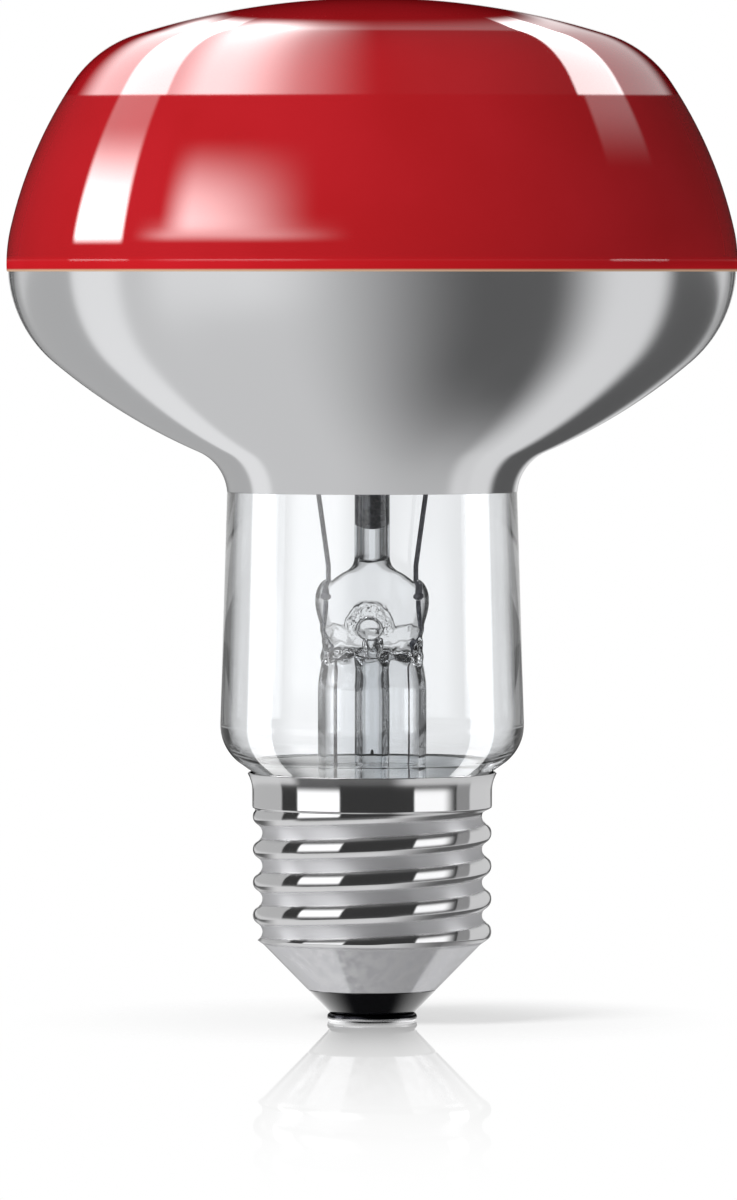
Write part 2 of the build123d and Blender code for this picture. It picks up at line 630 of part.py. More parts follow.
# Centre contact: a disc with a rounded edge, a dimple and an eyelet through the insulator
with BuildPart() as centre_contact:
    with BuildSketch(Plane.XZ):
        with BuildLine():
            Polyline(
                (EYELET_BORE_RADIUS, DIMPLE_DEPTH),
                (DIMPLE_RADIUS, 0),
                (CONTACT_RADIUS, 0),
                (CONTACT_RADIUS, CONTACT_HEIGHT),
                (EYELET_RADIUS, CONTACT_HEIGHT),
                (EYELET_RADIUS, INSULATOR_DISH_Z),
                (EYELET_BORE_RADIUS, INSULATOR_DISH_Z),
                close=True,
            )
        make_face()
    revolve(axis=Axis.Z)
    fillet(
        centre_contact.edges().filter_by(GeomType.CIRCLE).filter_by(lambda edge: edge.radius == CONTACT_RADIUS),
        radius=CONTACT_EDGE_RADIUS,
    )
save(centre_contact.part, "centre_contact")

# Solder in the dimple, kept above the standing plane
dimple_slope = DIMPLE_DEPTH / (DIMPLE_RADIUS - EYELET_BORE_RADIUS)
with BuildPart() as contact_solder:
    with BuildSketch(Plane.XZ):
        with BuildLine():
            rim_point = (CONTACT_SOLDER_RADIUS, dimple_slope * (DIMPLE_RADIUS - CONTACT_SOLDER_RADIUS))
            Polyline(rim_point, (EYELET_BORE_RADIUS, DIMPLE_DEPTH), (0, DIMPLE_DEPTH), (0, SOLDER_BOTTOM_Z))
            TangentArc((0, SOLDER_BOTTOM_Z), rim_point, tangent=(1, 0))
        make_face()
    revolve(axis=Axis.Z)
save(contact_solder.part, "contact_solder")

# Cement that holds the neck in the cap, with a channel for the side lead
with BuildPart() as cap_cement:
    with BuildSketch(Plane.XZ):
        with BuildLine():
            Polyline(
                (0, lip_z),
                (shell_bore_radius - FIT_GAP, lip_z),
                (shell_bore_radius - FIT_GAP, BAND_BOTTOM_Z),
                (band_bore_radius - FIT_GAP, BAND_BOTTOM_Z),
                (band_bore_radius - FIT_GAP, CEMENT_TOP_Z),
                (0, CEMENT_TOP_Z),
                close=True,
            )
        make_face()
    revolve(axis=Axis.Z)
    with BuildSketch(Plane.XZ):
        with BuildLine():
            neck_top, neck_foot = envelope_line(-FIT_GAP)
            low_corner = (neck_foot.X, lip_z)
            Polyline(neck_foot, low_corner, (0, lip_z), neck_top)
        make_face()
    revolve(axis=Axis.Z, mode=Mode.SUBTRACT)
    with BuildSketch(Plane.XY.offset(lip_z)):
        with Locations((0, BAND_RADIUS)):
            Rectangle(CEMENT_SLOT_WIDTH, 2 * (BAND_RADIUS - seal_radius))
    extrude(amount=CEMENT_TOP_Z - lip_z, mode=Mode.SUBTRACT)
save(cap_cement.part, "cap_cement")

# Solder that joins the side lead to the rim at the back
with BuildPart() as side_solder:
    with Locations((0, RIM_RADIUS, RIM_Z)):
        Sphere(SOLDER_RADIUS)
    with BuildSketch(Plane.XZ):
        with BuildLine():
            neck_top, neck_foot = envelope_line(-FIT_GAP)
            Polyline(neck_foot, (0, SEAL_Z), neck_top)
        make_face()
    revolve(axis=Axis.Z, mode=Mode.SUBTRACT)
    add(cap_shell.part, mode=Mode.SUBTRACT)
    wire(side_lead_route[-2:], SIDE_LEAD_RADIUS, mode=Mode.SUBTRACT)
save(side_solder.part, "side_solder")
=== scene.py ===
from math import cos, pi, radians, sin, sqrt, tan

import bmesh
import bpy
import numpy as np
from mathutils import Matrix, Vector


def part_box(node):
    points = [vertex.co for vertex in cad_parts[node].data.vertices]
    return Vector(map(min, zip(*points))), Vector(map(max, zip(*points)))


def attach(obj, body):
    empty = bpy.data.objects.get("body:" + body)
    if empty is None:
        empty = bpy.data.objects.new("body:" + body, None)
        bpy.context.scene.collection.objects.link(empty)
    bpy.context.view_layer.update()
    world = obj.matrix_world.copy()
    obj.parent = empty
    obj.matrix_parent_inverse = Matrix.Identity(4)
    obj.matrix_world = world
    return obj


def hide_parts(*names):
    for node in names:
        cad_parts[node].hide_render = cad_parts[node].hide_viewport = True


# Reflector bulb standing on the contact of its screw cap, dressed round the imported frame.
# Shapes are drawn in millimetres and turned to metres where a mesh is made.
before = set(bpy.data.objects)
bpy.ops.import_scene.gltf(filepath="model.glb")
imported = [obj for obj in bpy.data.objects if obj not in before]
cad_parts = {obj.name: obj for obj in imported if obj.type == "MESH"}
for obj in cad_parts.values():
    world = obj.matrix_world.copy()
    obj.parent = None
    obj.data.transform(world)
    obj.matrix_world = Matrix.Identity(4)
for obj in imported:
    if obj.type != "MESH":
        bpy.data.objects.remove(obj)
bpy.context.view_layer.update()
MILLIMETRE = 0.001

# Outline of the blown envelope: (r, z) places and radii, as in the part
BULB_HEIGHT = 112.0
EQUATOR_RADIUS = 39.9
WIDEST_Z = 83.0
CROWN_RADIUS = 85.3
SHOULDER_RADIUS = 12.65
SIDE_RADIUS = 48.15
UPPER_RADIUS = 17.75
UPPER_ANGLE = 13.0
LOWER_RADIUS = 14.0
LOWER_ANGLE = 50.0
BOWL_RADIUS = 65.0
NECK_FILLET = 5.2
NECK_RADIUS = 16.65
NECK_TAPER = 1.75
NECK_CURL_Z = 32.7
NECK_CURL = 5.2
CURL_ANGLE = 55.0
THROAT_RADIUS = 11.35
THROAT_FILLET = 2.0
THROAT_TAPER = 3.0
SEAL_Z = 19.0
GLASS_WALL = 0.8
FILM_INSET = 0.84
FILM_THICKNESS = 0.1
LACQUER_GAP = 0.04
LACQUER_THICKNESS = 0.1
COLOUR_LINE_Z = 82.2
MIRROR_EDGE_Z = 58.1

# Glass stem
TUBE_RADIUS = 5.95
TUBE_WALL = 0.75
FLARE_BEND = 4.2
PRESS_HALF_DEPTH = 2.0
PRESS_HALF_WAIST = 5.3
EAR_HALF_WIDTH = 6.25
EAR_Z = 46.1
EAR_TOP_Z = 48.6
DOME_RADIUS = 6.6
DOME_Z = 43.4
CEILING_Z = 40.3
ROD_RADIUS = 1.93
BORE_RADIUS = 1.15
ROD_BORE_RADIUS = 1.3
ROD_FOOT_Z = 50.2
ROD_TOP_Z = 66.0
HOLE_X = -0.3
HOLE_Z = 43.1
TAIL_TIP_Z = 12.5
TAIL_TAPER = 3.2
FIELD_FOOT_Z = 26.4
FIELD_TOP_Z = 69.6
FIELD_HALF_WIDTH = 7.2
FIELD_HALF_DEPTH = 6.6
FIELD_STEP = 0.17
PRESS_START_Z = 36.4
PRESS_FULL_Z = 41.4
EAR_PULL = 1.35
EAR_INNER_X = 4.55
EAR_X = 5.1
EAR_ROUND = 0.8
MELT_FOOT_Z = (38.8, 40.4)
MELT_TOP_Z = (42.6, 43.6)
RIDGE_Z = 41.9
RIDGE_Y = 1.9
RIDGE_RADIUS = 0.5
RIDGE_REACH = 4.2
HOOD_Z = 43.1
HOOD_Y = 2.0
HOOD_RADIUS = 1.85
HOOD_THICKNESS = 0.62
HOOD_FOOT_Z = 42.4
TUBE_TOP_Z = 42.0
BORE_TOP_Z = 43.0
HOLE_HALF_WIDTH = 1.4
HOLE_HALF_HEIGHT = 1.12
HOLE_BACK_Y = 0.5
ROD_BASE_Z = 46.0
ROD_BORE_TOP_Z = 64.8
ROD_BORE_SLANT = 0.12
RING_CENTRE = 1.25
RING_THICKNESS = 0.26
BUTTON_Z = 67.4
BUTTON_REACH = 2.05
BUTTON_HALF_HEIGHT = 0.85
BUTTON_ROUND = 0.52
CORE_END = 2.0

# Filament coil
RING_RADIUS = 8.0
FILAMENT_Z = 77.0
COIL_START = -30
COIL_SWEEP = 240
COIL_RADIUS = 0.31
COIL_WIRE = 0.035
COIL_TURNS = 170

# Screw cap
CAP_SHEET = 0.28
ROOT_RADIUS = 12.05
CREST_RADIUS = 13.1
PITCH = 3.62
THREAD_START_Z = 6.16
BAND_RADIUS = 13.15
BAND_BOTTOM_Z = 23.4
FLARE_Z = 25.2
BAND_STEP = 0.6
RIM_RADIUS = 13.72
RIM_Z = 27.3
LIP_HEIGHT = 0.12
CONE_TOP_RADIUS = 11.9
CONE_TOP_Z = 8.4
CONE_BOTTOM_RADIUS = 7.1
CONE_BOTTOM_Z = 3.5
RUNOUT_Z = 9.3
FOOT_RADIUS = 4.85
FOOT_Z = 0.92
CONTACT_RADIUS = 4.93
CONTACT_THICKNESS = 0.9
CONTACT_HOLE = 0.45
CONTACT_TOP_Z = 5.2

# Gloss: each material's normal is laid level, keeps a share of its slope, and leans into
# the material's own zone of the studio (the zones stand with the panels)
NECK_KEEP = 0.005
NECK_LEAN = -0.008
BOWL_LEAN = -0.7776
BOWL_LEAN_RISE = 5.81
BAND_KEEP = 0.07
THREAD_KEEP = 0.045
CAP_LEAN = -0.0755
CONE_LEAN = -0.1225
UNDER_CREST_LEAN = -0.0175


def shape_object(name, verts, faces, sharp=None):
    """A shaded mesh object from points in millimetres."""
    mesh = bpy.data.meshes.new(name)
    mesh.from_pydata((np.asarray(verts, float) * MILLIMETRE).tolist(), [], faces)
    work = bmesh.new()
    work.from_mesh(mesh)
    bmesh.ops.remove_doubles(work, verts=work.verts, dist=1e-8)
    bmesh.ops.recalc_face_normals(work, faces=work.faces)
    work.to_mesh(mesh)
    work.free()
    mesh.polygons.foreach_set("use_smooth", [True] * len(mesh.polygons))
    if sharp:
        mesh.set_sharp_from_angle(angle=radians(sharp))
    made = bpy.data.objects.new(name, mesh)
    bpy.context.scene.collection.objects.link(made)
    return made


def grid_faces(rows, columns, loop_rows, start=0):
    """Quads over a grid whose columns close on themselves."""
    faces = []
    for row in range(rows if loop_rows else rows - 1):
        above = (row + 1) % rows
        for column in range(columns):
            beside = (column + 1) % columns
            faces.append([
                start + row * columns + column,
                start + row * columns + beside,
                start + above * columns + beside,
                start + above * columns + column,
            ])
    return faces


def turned_points(outline, segments):
    """Rows of points made by turning an (r, z) outline about the axis."""
    turn = np.arange(segments) * 2 * pi / segments
    outline = np.asarray(outline, float)
    radius = outline[:, 0][:, None]
    height = np.repeat(outline[:, 1][:, None], segments, axis=1)
    return np.stack([radius * np.cos(turn), radius * np.sin(turn), height], axis=2)


def turned(name, outline, segments, closed, sharp=None):
    points = turned_points(outline, segments)
    faces = grid_faces(len(points), segments, closed)
    return shape_object(name, points.reshape(-1, 3), faces, sharp)


def direction(angle):
    return np.array([cos(radians(angle)), sin(radians(angle))])


def angle_of(line):
    return np.degrees(np.arctan2(line[1], line[0]))


def arc(centre, radius, start, end, count):
    """Points along an arc, its last one left to the next stretch."""
    angles = np.radians(np.linspace(start, end, count, endpoint=False))
    turned_by = np.stack([np.cos(angles), np.sin(angles)], axis=1)
    return np.asarray(centre) + radius * turned_by


def outer_meeting(centre_a, reach_a, centre_b, reach_b):
    between = centre_b - centre_a
    span = np.hypot(*between)
    along = (reach_a ** 2 - reach_b ** 2 + span ** 2) / (2 * span)
    across = sqrt(reach_a ** 2 - along ** 2)
    step = between / span
    side = np.array([-step[1], step[0]]) * across
    foot = centre_a + step * along
    return max(foot + side, foot - side, key=lambda point: point[0])


def envelope_outline(inset):
    """The envelope's half section from crown to seal, at an even depth under its surface."""
    crown = np.array([0, BULB_HEIGHT - CROWN_RADIUS])
    upper = np.array([EQUATOR_RADIUS - UPPER_RADIUS, WIDEST_Z])
    side = upper - direction(UPPER_ANGLE) * (SIDE_RADIUS - UPPER_RADIUS)
    shoulder = outer_meeting(crown, CROWN_RADIUS - SHOULDER_RADIUS, side, SIDE_RADIUS - SHOULDER_RADIUS)
    crown_end = angle_of(shoulder - crown)
    shoulder_end = angle_of(shoulder - side)
    lower = np.array([EQUATOR_RADIUS - LOWER_RADIUS, WIDEST_Z])
    bowl = lower - direction(-LOWER_ANGLE) * (BOWL_RADIUS - LOWER_RADIUS)
    curl_start = np.array([NECK_RADIUS, NECK_CURL_Z])
    curl = curl_start - direction(NECK_TAPER) * NECK_CURL
    fillet_foot = curl_start + direction(NECK_TAPER) * NECK_FILLET
    up_neck = direction(NECK_TAPER + 90)
    to_bowl = fillet_foot - bowl
    climb = to_bowl @ up_neck
    reach = (BOWL_RADIUS + NECK_FILLET) ** 2 - to_bowl @ to_bowl + climb ** 2
    fillet = fillet_foot - up_neck * (climb + sqrt(reach))
    bowl_end = angle_of(fillet - bowl)
    throat_turn = direction(-CURL_ANGLE)
    curl_end = curl + throat_turn * NECK_CURL
    mouth_turn = direction(-THROAT_TAPER)
    throat_x = THROAT_RADIUS + THROAT_FILLET * mouth_turn[0]
    start_x = throat_x - THROAT_FILLET * throat_turn[0]
    slope = (curl_end[0] - start_x) / cos(radians(90 - CURL_ANGLE))
    throat = curl_end - direction(90 - CURL_ANGLE) * slope + throat_turn * THROAT_FILLET
    throat_end = throat - mouth_turn * THROAT_FILLET
    mouth_r = throat_end[0] - (throat_end[1] - SEAL_Z) * tan(radians(THROAT_TAPER))
    return np.concatenate([
        arc(crown, CROWN_RADIUS - inset, 90, crown_end, 22),
        arc(shoulder, SHOULDER_RADIUS - inset, crown_end, shoulder_end, 14),
        arc(side, SIDE_RADIUS - inset, shoulder_end, UPPER_ANGLE, 16),
        arc(upper, UPPER_RADIUS - inset, UPPER_ANGLE, 0, 8),
        arc(lower, LOWER_RADIUS - inset, 0, -LOWER_ANGLE, 18),
        arc(bowl, BOWL_RADIUS - inset, -LOWER_ANGLE, bowl_end, 14),
        arc(fillet, NECK_FILLET + inset, bowl_end + 180, NECK_TAPER + 180, 14),
        arc(curl, NECK_CURL - inset, NECK_TAPER, -CURL_ANGLE, 16),
        arc(throat, THROAT_FILLET + inset, 180 - CURL_ANGLE, 180 - THROAT_TAPER, 10),
        [throat - mouth_turn * (THROAT_FILLET + inset)],
        [(mouth_r - inset / cos(radians(THROAT_TAPER)), SEAL_Z)],
    ])


def between_heights(outline, top_z, low_z):
    """The stretch of a falling outline between two heights, cut exactly at both."""
    kept = outline[(outline[:, 1] < top_z) & (outline[:, 1] > low_z)]
    ends = []
    for level in (top_z, low_z):
        order = outline[::-1]
        ends.append(np.array([[np.interp(level, order[:, 1], order[:, 0]), level]]))
    if top_z > outline[0, 1]:
        ends[0] = outline[:0]
    return np.concatenate([ends[0], kept, ends[1]])


# Node trees


def node(tree, kind, inputs=None, **settings):
    """Add a node; an input is a value or the socket that feeds it."""
    made = tree.nodes.new(kind)
    for key, value in settings.items():
        setattr(made, key, value)
    for key, value in (inputs or {}).items():
        if isinstance(value, bpy.types.NodeSocket):
            tree.links.new(value, made.inputs[key])
        else:
            made.inputs[key].default_value = value
    return made


def maths(tree, operation, first, second=0.0):
    return node(tree, "ShaderNodeMath", {0: first, 1: second}, operation=operation).outputs[0]


def vector(tree, operation, first, second=(0, 0, 0)):
    return node(tree, "ShaderNodeVectorMath", {0: first, 1: second}, operation=operation).outputs[0]


def rise(tree, value, low, high, bottom=0.0, top=1.0):
    """A smooth rise from bottom to top as the value goes from low to high."""
    inputs = {0: value, 1: low, 2: high, 3: bottom, 4: top}
    return node(tree, "ShaderNodeMapRange", inputs, interpolation_type="SMOOTHSTEP").outputs[0]


def rise_mm(tree, value, low, high, bottom=0.0, top=1.0):
    """The same rise between two places in millimetres."""
    return rise(tree, value, low * MILLIMETRE, high * MILLIMETRE, bottom, top)


def product(tree, first, second):
    return maths(tree, "MULTIPLY", first, second)


def chosen(tree, flag, value, other):
    return node(tree, "ShaderNodeMix", {0: flag, 2: other, 3: value}, data_type="FLOAT").outputs[0]


def mixed(tree, share, first, second):
    return node(tree, "ShaderNodeMix", {0: share, 6: first, 7: second}, data_type="RGBA").outputs[2]


def place(tree):
    return node(tree, "ShaderNodeNewGeometry").outputs["Position"]


def coordinate(tree, axis):
    return node(tree, "ShaderNodeSeparateXYZ", {0: place(tree)}).outputs[axis]


def noise(tree, scale, detail=3.0, stretch=(1, 1, 1)):
    where = vector(tree, "MULTIPLY", place(tree), stretch)
    inputs = {"Vector": where, "Scale": scale, "Detail": detail}
    return node(tree, "ShaderNodeTexNoise", inputs).outputs["Fac"]


def mottled(tree, scale, low=0.0, high=1.0, detail=3.0, stretch=(1, 1, 1)):
    """A cloudy value between two levels."""
    return rise(tree, noise(tree, scale, detail, stretch), 0.3, 0.7, low, high)


def bump(tree, height, strength, distance):
    inputs = {"Height": height, "Strength": strength, "Distance": distance * MILLIMETRE}
    return node(tree, "ShaderNodeBump", inputs).outputs["Normal"]


def slope_of(tree):
    """The upward part of the surface's normal."""
    normal = node(tree, "ShaderNodeNewGeometry").outputs["Normal"]
    return node(tree, "ShaderNodeSeparateXYZ", {0: normal}).outputs[2]


def levelled(tree, keep, lean):
    """The surface's normal laid level, with a share of its slope kept and a lean put on."""
    normal = node(tree, "ShaderNodeNewGeometry").outputs["Normal"]
    flat = vector(tree, "NORMALIZE", vector(tree, "MULTIPLY", normal, (1, 1, 0)))
    tilt = maths(tree, "ADD", product(tree, slope_of(tree), keep), lean)
    leaning = node(tree, "ShaderNodeCombineXYZ", {2: tilt}).outputs[0]
    return vector(tree, "NORMALIZE", vector(tree, "ADD", flat, leaning))


def from_axis(tree):
    flat = vector(tree, "MULTIPLY", place(tree), (1, 1, 0))
    return node(tree, "ShaderNodeVectorMath", {0: flat}, operation="LENGTH").outputs["Value"]


def blank_material(name):
    made = bpy.data.materials.new(name)
    made.use_nodes = True
    made.node_tree.nodes.clear()
    tree = made.node_tree
    return made, tree, node(tree, "ShaderNodeOutputMaterial")


def principled(name, colour, metallic=0.0, roughness=0.4, **sockets):
    """A material of one Principled shader whose plain values sit on its own sockets."""
    made, tree, output = blank_material(name)
    inputs = {"Base Color": (*colour, 1), "Metallic": metallic, "Roughness": roughness, **sockets}
    shader = node(tree, "ShaderNodeBsdfPrincipled", inputs)
    tree.links.new(shader.outputs[0], output.inputs["Surface"])
    return made, tree, shader


def feed(tree, socket, value):
    tree.links.new(value, socket)


def finish_glass(tree, output, body, tint):
    """Glass casts no shadow: shadow rays pass straight through, a little tinted."""
    clear = node(tree, "ShaderNodeBsdfTransparent", {"Color": tint})
    shadow = node(tree, "ShaderNodeLightPath").outputs["Is Shadow Ray"]
    final = node(tree, "ShaderNodeMixShader", {0: shadow, 1: body.outputs[0], 2: clear.outputs[0]})
    feed(tree, output.inputs["Surface"], final.outputs[0])


def stem_glass():
    """Clear melted glass with a faint unevenness."""
    made, tree, output = blank_material("stem_glass")
    tint = (0.97, 0.98, 0.99, 1)
    inputs = {"Base Color": tint, "Roughness": 0.0, "IOR": 1.5, "Transmission Weight": 1.0}
    body = node(tree, "ShaderNodeBsdfPrincipled", inputs)
    feed(tree, body.inputs["Normal"], bump(tree, noise(tree, 220), 0.06, 0.05))
    finish_glass(tree, output, body, tint)
    return made


def neck_glass():
    """Thin blown glass: refraction and a clear gloss shared out by angle."""
    made, tree, output = blank_material("clear_glass")
    tint = (0.985, 0.99, 0.995, 1)
    through = node(tree, "ShaderNodeBsdfRefraction", {"Color": tint, "Roughness": 0.0, "IOR": 1.5})
    gloss = node(tree, "ShaderNodeBsdfGlossy", {"Color": (1, 1, 1, 1), "Roughness": 0.0})
    feed(tree, gloss.inputs["Normal"], levelled(tree, NECK_KEEP, NECK_LEAN))
    share = node(tree, "ShaderNodeFresnel", {"IOR": 1.5}).outputs[0]
    body = node(tree, "ShaderNodeMixShader", {0: share, 1: through.outputs[0], 2: gloss.outputs[0]})
    finish_glass(tree, output, body, tint)
    return made


def silvered_glass():
    """Blown glass with the mirror film right behind it, which fills it to its outline."""
    made, tree, shader = principled("silvered_glass", (0.88, 0.885, 0.90), 1.0, 0.1)
    lean = maths(tree, "ADD", product(tree, coordinate(tree, 2), BOWL_LEAN_RISE), BOWL_LEAN)
    feed(tree, shader.inputs["Normal"], levelled(tree, 0.0, lean))
    feed(tree, shader.inputs["Roughness"], mottled(tree, 60, 0.10, 0.14, 3, (1, 1, 0.4)))
    return made


def mirror_film():
    made, tree, shader = principled("mirror_film", (0.86, 0.87, 0.89), 1.0, 0.07)
    feed(tree, shader.inputs["Roughness"], mottled(tree, 90, 0.055, 0.085, 4, (1, 1, 0.4)))
    return made


def lacquer():
    """Deep red under a clear gloss, both feathered out towards the colour line."""
    coat = {"Coat Weight": 1.0, "Coat Roughness": 0.03, "Coat IOR": 2.3, "Specular IOR Level": 0.0}
    made, tree, shader = principled("red_lacquer", (0.5, 0.01, 0.02), 0.0, 0.5, **coat)
    red = mixed(tree, mottled(tree, 60), (0.44, 0.010, 0.014, 1), (0.475, 0.012, 0.018, 1))
    height = coordinate(tree, 2)
    edge = rise_mm(tree, height, COLOUR_LINE_Z + 0.1, COLOUR_LINE_Z + 0.35, 1, 0)
    feed(tree, shader.inputs["Base Color"], mixed(tree, edge, red, (0.55, 0.36, 0.24, 1)))
    gloss = rise_mm(tree, height, COLOUR_LINE_Z + 1.0, COLOUR_LINE_Z + 1.8)
    feed(tree, shader.inputs["Coat Weight"], gloss)
    return made


def cemented_glass():
    """The glass inside the cap, which shows the pale cement behind it."""
    made, tree, shader = principled("cemented_glass", (0.90, 0.90, 0.89), 0.0, 0.4)
    feed(tree, shader.inputs["Roughness"], mottled(tree, 500, 0.35, 0.45))
    return made


def cap_metal():
    """Plated sheet: bright crests, satin grooves darkened by painted shade, and a scratched cone."""
    made, tree, shader = principled("cap_metal", (0.87, 0.87, 0.88), 1.0, 0.08)
    height = coordinate(tree, 2)
    cone = rise_mm(tree, height, CONE_TOP_Z - 0.2, CONE_TOP_Z + 0.4, 1, 0)
    below_band = rise_mm(tree, height, BAND_BOTTOM_Z - 1.2, BAND_BOTTOM_Z - 0.4, 1, 0)
    threaded = product(tree, below_band, maths(tree, "SUBTRACT", 1.0, cone))
    deep = rise_mm(tree, from_axis(tree), ROOT_RADIUS + 0.1, ROOT_RADIUS + 0.6, 1, 0)
    groove_satin_and_shade = product(tree, deep, threaded)
    wear = mottled(tree, 900, 0, 1, 5, (1, 1, 0.3))
    rough = rise(tree, groove_satin_and_shade, 0, 1, 0.06, 0.30)
    scratched = rise(tree, wear, 0, 1, 0.12, 0.2)
    feed(tree, shader.inputs["Roughness"], chosen(tree, cone, scratched, rough))
    feed(tree, shader.inputs["Metallic"], rise(tree, groove_satin_and_shade, 0, 1, 1.0, 0.8))
    tone = mixed(tree, wear, (0.82, 0.82, 0.85, 1), (0.90, 0.90, 0.92, 1))
    # Painted shade: the grooves' base colour is darkened to 0.66 in the recesses; their higher roughness and
    # lower metallic are real satin.
    sheet = mixed(tree, groove_satin_and_shade, (0.87, 0.87, 0.88, 1), (0.66, 0.66, 0.68, 1))
    feed(tree, shader.inputs["Base Color"], mixed(tree, cone, sheet, tone))
    keep = rise(tree, below_band, 0, 1, BAND_KEEP, THREAD_KEEP)
    lean = rise(tree, cone, 0, 1, CAP_LEAN, CONE_LEAN)
    under_crest = rise(tree, slope_of(tree), -0.42, -0.36, UNDER_CREST_LEAN, 0)
    lean = maths(tree, "ADD", lean, product(tree, under_crest, threaded))
    level = levelled(tree, keep, lean)
    grain = node(tree, "ShaderNodeBump", {"Height": wear, "Distance": 0.00001, "Normal": level})
    feed(tree, grain.inputs["Strength"], product(tree, cone, 0.25))
    feed(tree, shader.inputs["Normal"], grain.outputs[0])
    return made


def black_glass():
    made, tree, shader = principled("black_glass", (0.003, 0.003, 0.004), 0.0, 0.1, IOR=1.7)
    flow = noise(tree, 300, 3, (1, 1, 0.5))
    feed(tree, shader.inputs["Roughness"], rise(tree, flow, 0.3, 0.7, 0.06, 0.16))
    feed(tree, shader.inputs["Normal"], bump(tree, flow, 0.1, 0.03))
    return made


def metal(name, dark, light, rough_low, rough_high, grain, bumpiness=0.1, metallic=1.0):
    """Metal whose tone and roughness vary with a fine grain, less metallic under a dull skin."""
    made, tree, shader = principled(name, light, metallic, rough_low)
    pattern = rise(tree, noise(tree, grain, 4), 0.35, 0.65)
    feed(tree, shader.inputs["Base Color"], mixed(tree, pattern, (*dark, 1), (*light, 1)))
    feed(tree, shader.inputs["Roughness"], mottled(tree, grain * 0.6, rough_low, rough_high))
    feed(tree, shader.inputs["Normal"], bump(tree, pattern, bumpiness, 0.02))
    return made


def contact_metal():
    """Tinned plate, the upper half of its edge painted near-black as a painted dark reflection."""
    made, tree, shader = principled("contact_metal", (0.7, 0.7, 0.71), 1.0, 0.25)
    # Painted dark reflection: the edge is coloured near-black from 0.34 to 0.50 mm upwards.
    painted_dark_edge = rise_mm(tree, coordinate(tree, 2), 0.34, 0.50)
    tone = mixed(tree, painted_dark_edge, (0.7, 0.7, 0.71, 1), (0.02, 0.02, 0.025, 1))
    feed(tree, shader.inputs["Base Color"], tone)
    feed(tree, shader.inputs["Roughness"], mottled(tree, 400, 0.22, 0.32))
    return made


def cement():
    made, tree, shader = principled("cement", (0.80, 0.79, 0.76), 0.0, 0.9)
    grain = noise(tree, 1800, 6)
    tone = rise(tree, grain, 0.3, 0.7)
    feed(tree, shader.inputs["Base Color"], mixed(tree, tone, (0.70, 0.69, 0.66, 1), (0.84, 0.83, 0.80, 1)))
    feed(tree, shader.inputs["Normal"], bump(tree, grain, 0.6, 0.05))
    return made


materials = {
    "clear_glass": neck_glass(),
    "silvered_glass": silvered_glass(),
    "cemented_glass": cemented_glass(),
    "stem_glass": stem_glass(),
    "mirror_film": mirror_film(),
    "red_lacquer": lacquer(),
    "cap_metal": cap_metal(),
    "black_glass": black_glass(),
    "lead_wire": metal("lead_wire", (0.16, 0.16, 0.18), (0.26, 0.26, 0.29), 0.35, 0.6, 2500, 0.1, 0.3),
    "seal_wire": metal("seal_wire", (0.10, 0.11, 0.14), (0.22, 0.23, 0.27), 0.35, 0.6, 3000),
    "copper_wire": metal("copper_wire", (0.16, 0.15, 0.17), (0.30, 0.27, 0.27), 0.35, 0.6, 2500),
    "support_wire": metal("support_wire", (0.22, 0.22, 0.24), (0.40, 0.40, 0.42), 0.3, 0.5, 2500),
    "tungsten": metal("tungsten", (0.14, 0.14, 0.15), (0.26, 0.26, 0.28), 0.35, 0.55, 4000),
    "dark_pin": metal("dark_pin", (0.07, 0.08, 0.10), (0.17, 0.18, 0.22), 0.4, 0.65, 1600, 0.3),
    "contact_metal": contact_metal(),
    "solder": metal("solder", (0.55, 0.55, 0.56), (0.72, 0.72, 0.73), 0.15, 0.35, 700, 0.3),
    "cement": cement(),
}


def dress(piece, slot, *replaced):
    """Ride on the part, take a slot's material and stand for CAD nodes."""
    piece.data.materials.append(materials[slot])
    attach(piece, "root")
    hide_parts(*replaced)
    return piece


# Envelope, mirror film and lacquer


def make_envelope():
    """Blown wall: silvered above the mirror's edge, then clear, then cemented inside the cap."""
    halves = []
    for inset in (0, GLASS_WALL):
        line = envelope_outline(inset)
        above = between_heights(line, BULB_HEIGHT + 1, MIRROR_EDGE_Z)
        below = between_heights(line, MIRROR_EDGE_Z, SEAL_Z + 0.001)
        halves.append(np.concatenate([above, below[1:-1], line[-1:]]))
    piece = turned("bulb_glass", np.concatenate([halves[0], halves[1][::-1]]), 192, False, 60)
    dress(piece, "clear_glass", "glass_envelope")
    piece.data.materials.append(materials["silvered_glass"])
    piece.data.materials.append(materials["cemented_glass"])
    for face in piece.data.polygons:
        if face.center.z > MIRROR_EDGE_Z * MILLIMETRE:
            face.material_index = 1
        elif face.center.z < RIM_Z * MILLIMETRE:
            face.material_index = 2


def make_film():
    outer = between_heights(envelope_outline(FILM_INSET), COLOUR_LINE_Z, MIRROR_EDGE_Z)
    inner = between_heights(envelope_outline(FILM_INSET + FILM_THICKNESS), COLOUR_LINE_Z, MIRROR_EDGE_Z)
    piece = turned("bowl_mirror", np.concatenate([outer, inner[::-1]]), 160, True, 40)
    dress(piece, "mirror_film", "mirror_coating")


def make_lacquer():
    """The lacquer thins out to a feathered edge at the colour line."""
    above = BULB_HEIGHT + 1
    outline = envelope_outline(-LACQUER_GAP - LACQUER_THICKNESS)
    outer = between_heights(outline, above, COLOUR_LINE_Z)
    inner = between_heights(envelope_outline(-LACQUER_GAP), above, COLOUR_LINE_Z)
    outer[-1, 0] -= LACQUER_THICKNESS * 0.7
    piece = turned("red_front", np.concatenate([outer, inner[::-1]]), 192, False, 40)
    dress(piece, "red_lacquer", "red_lacquer")


# Melted glass stem: a field that is negative in glass, and a net of quads round it


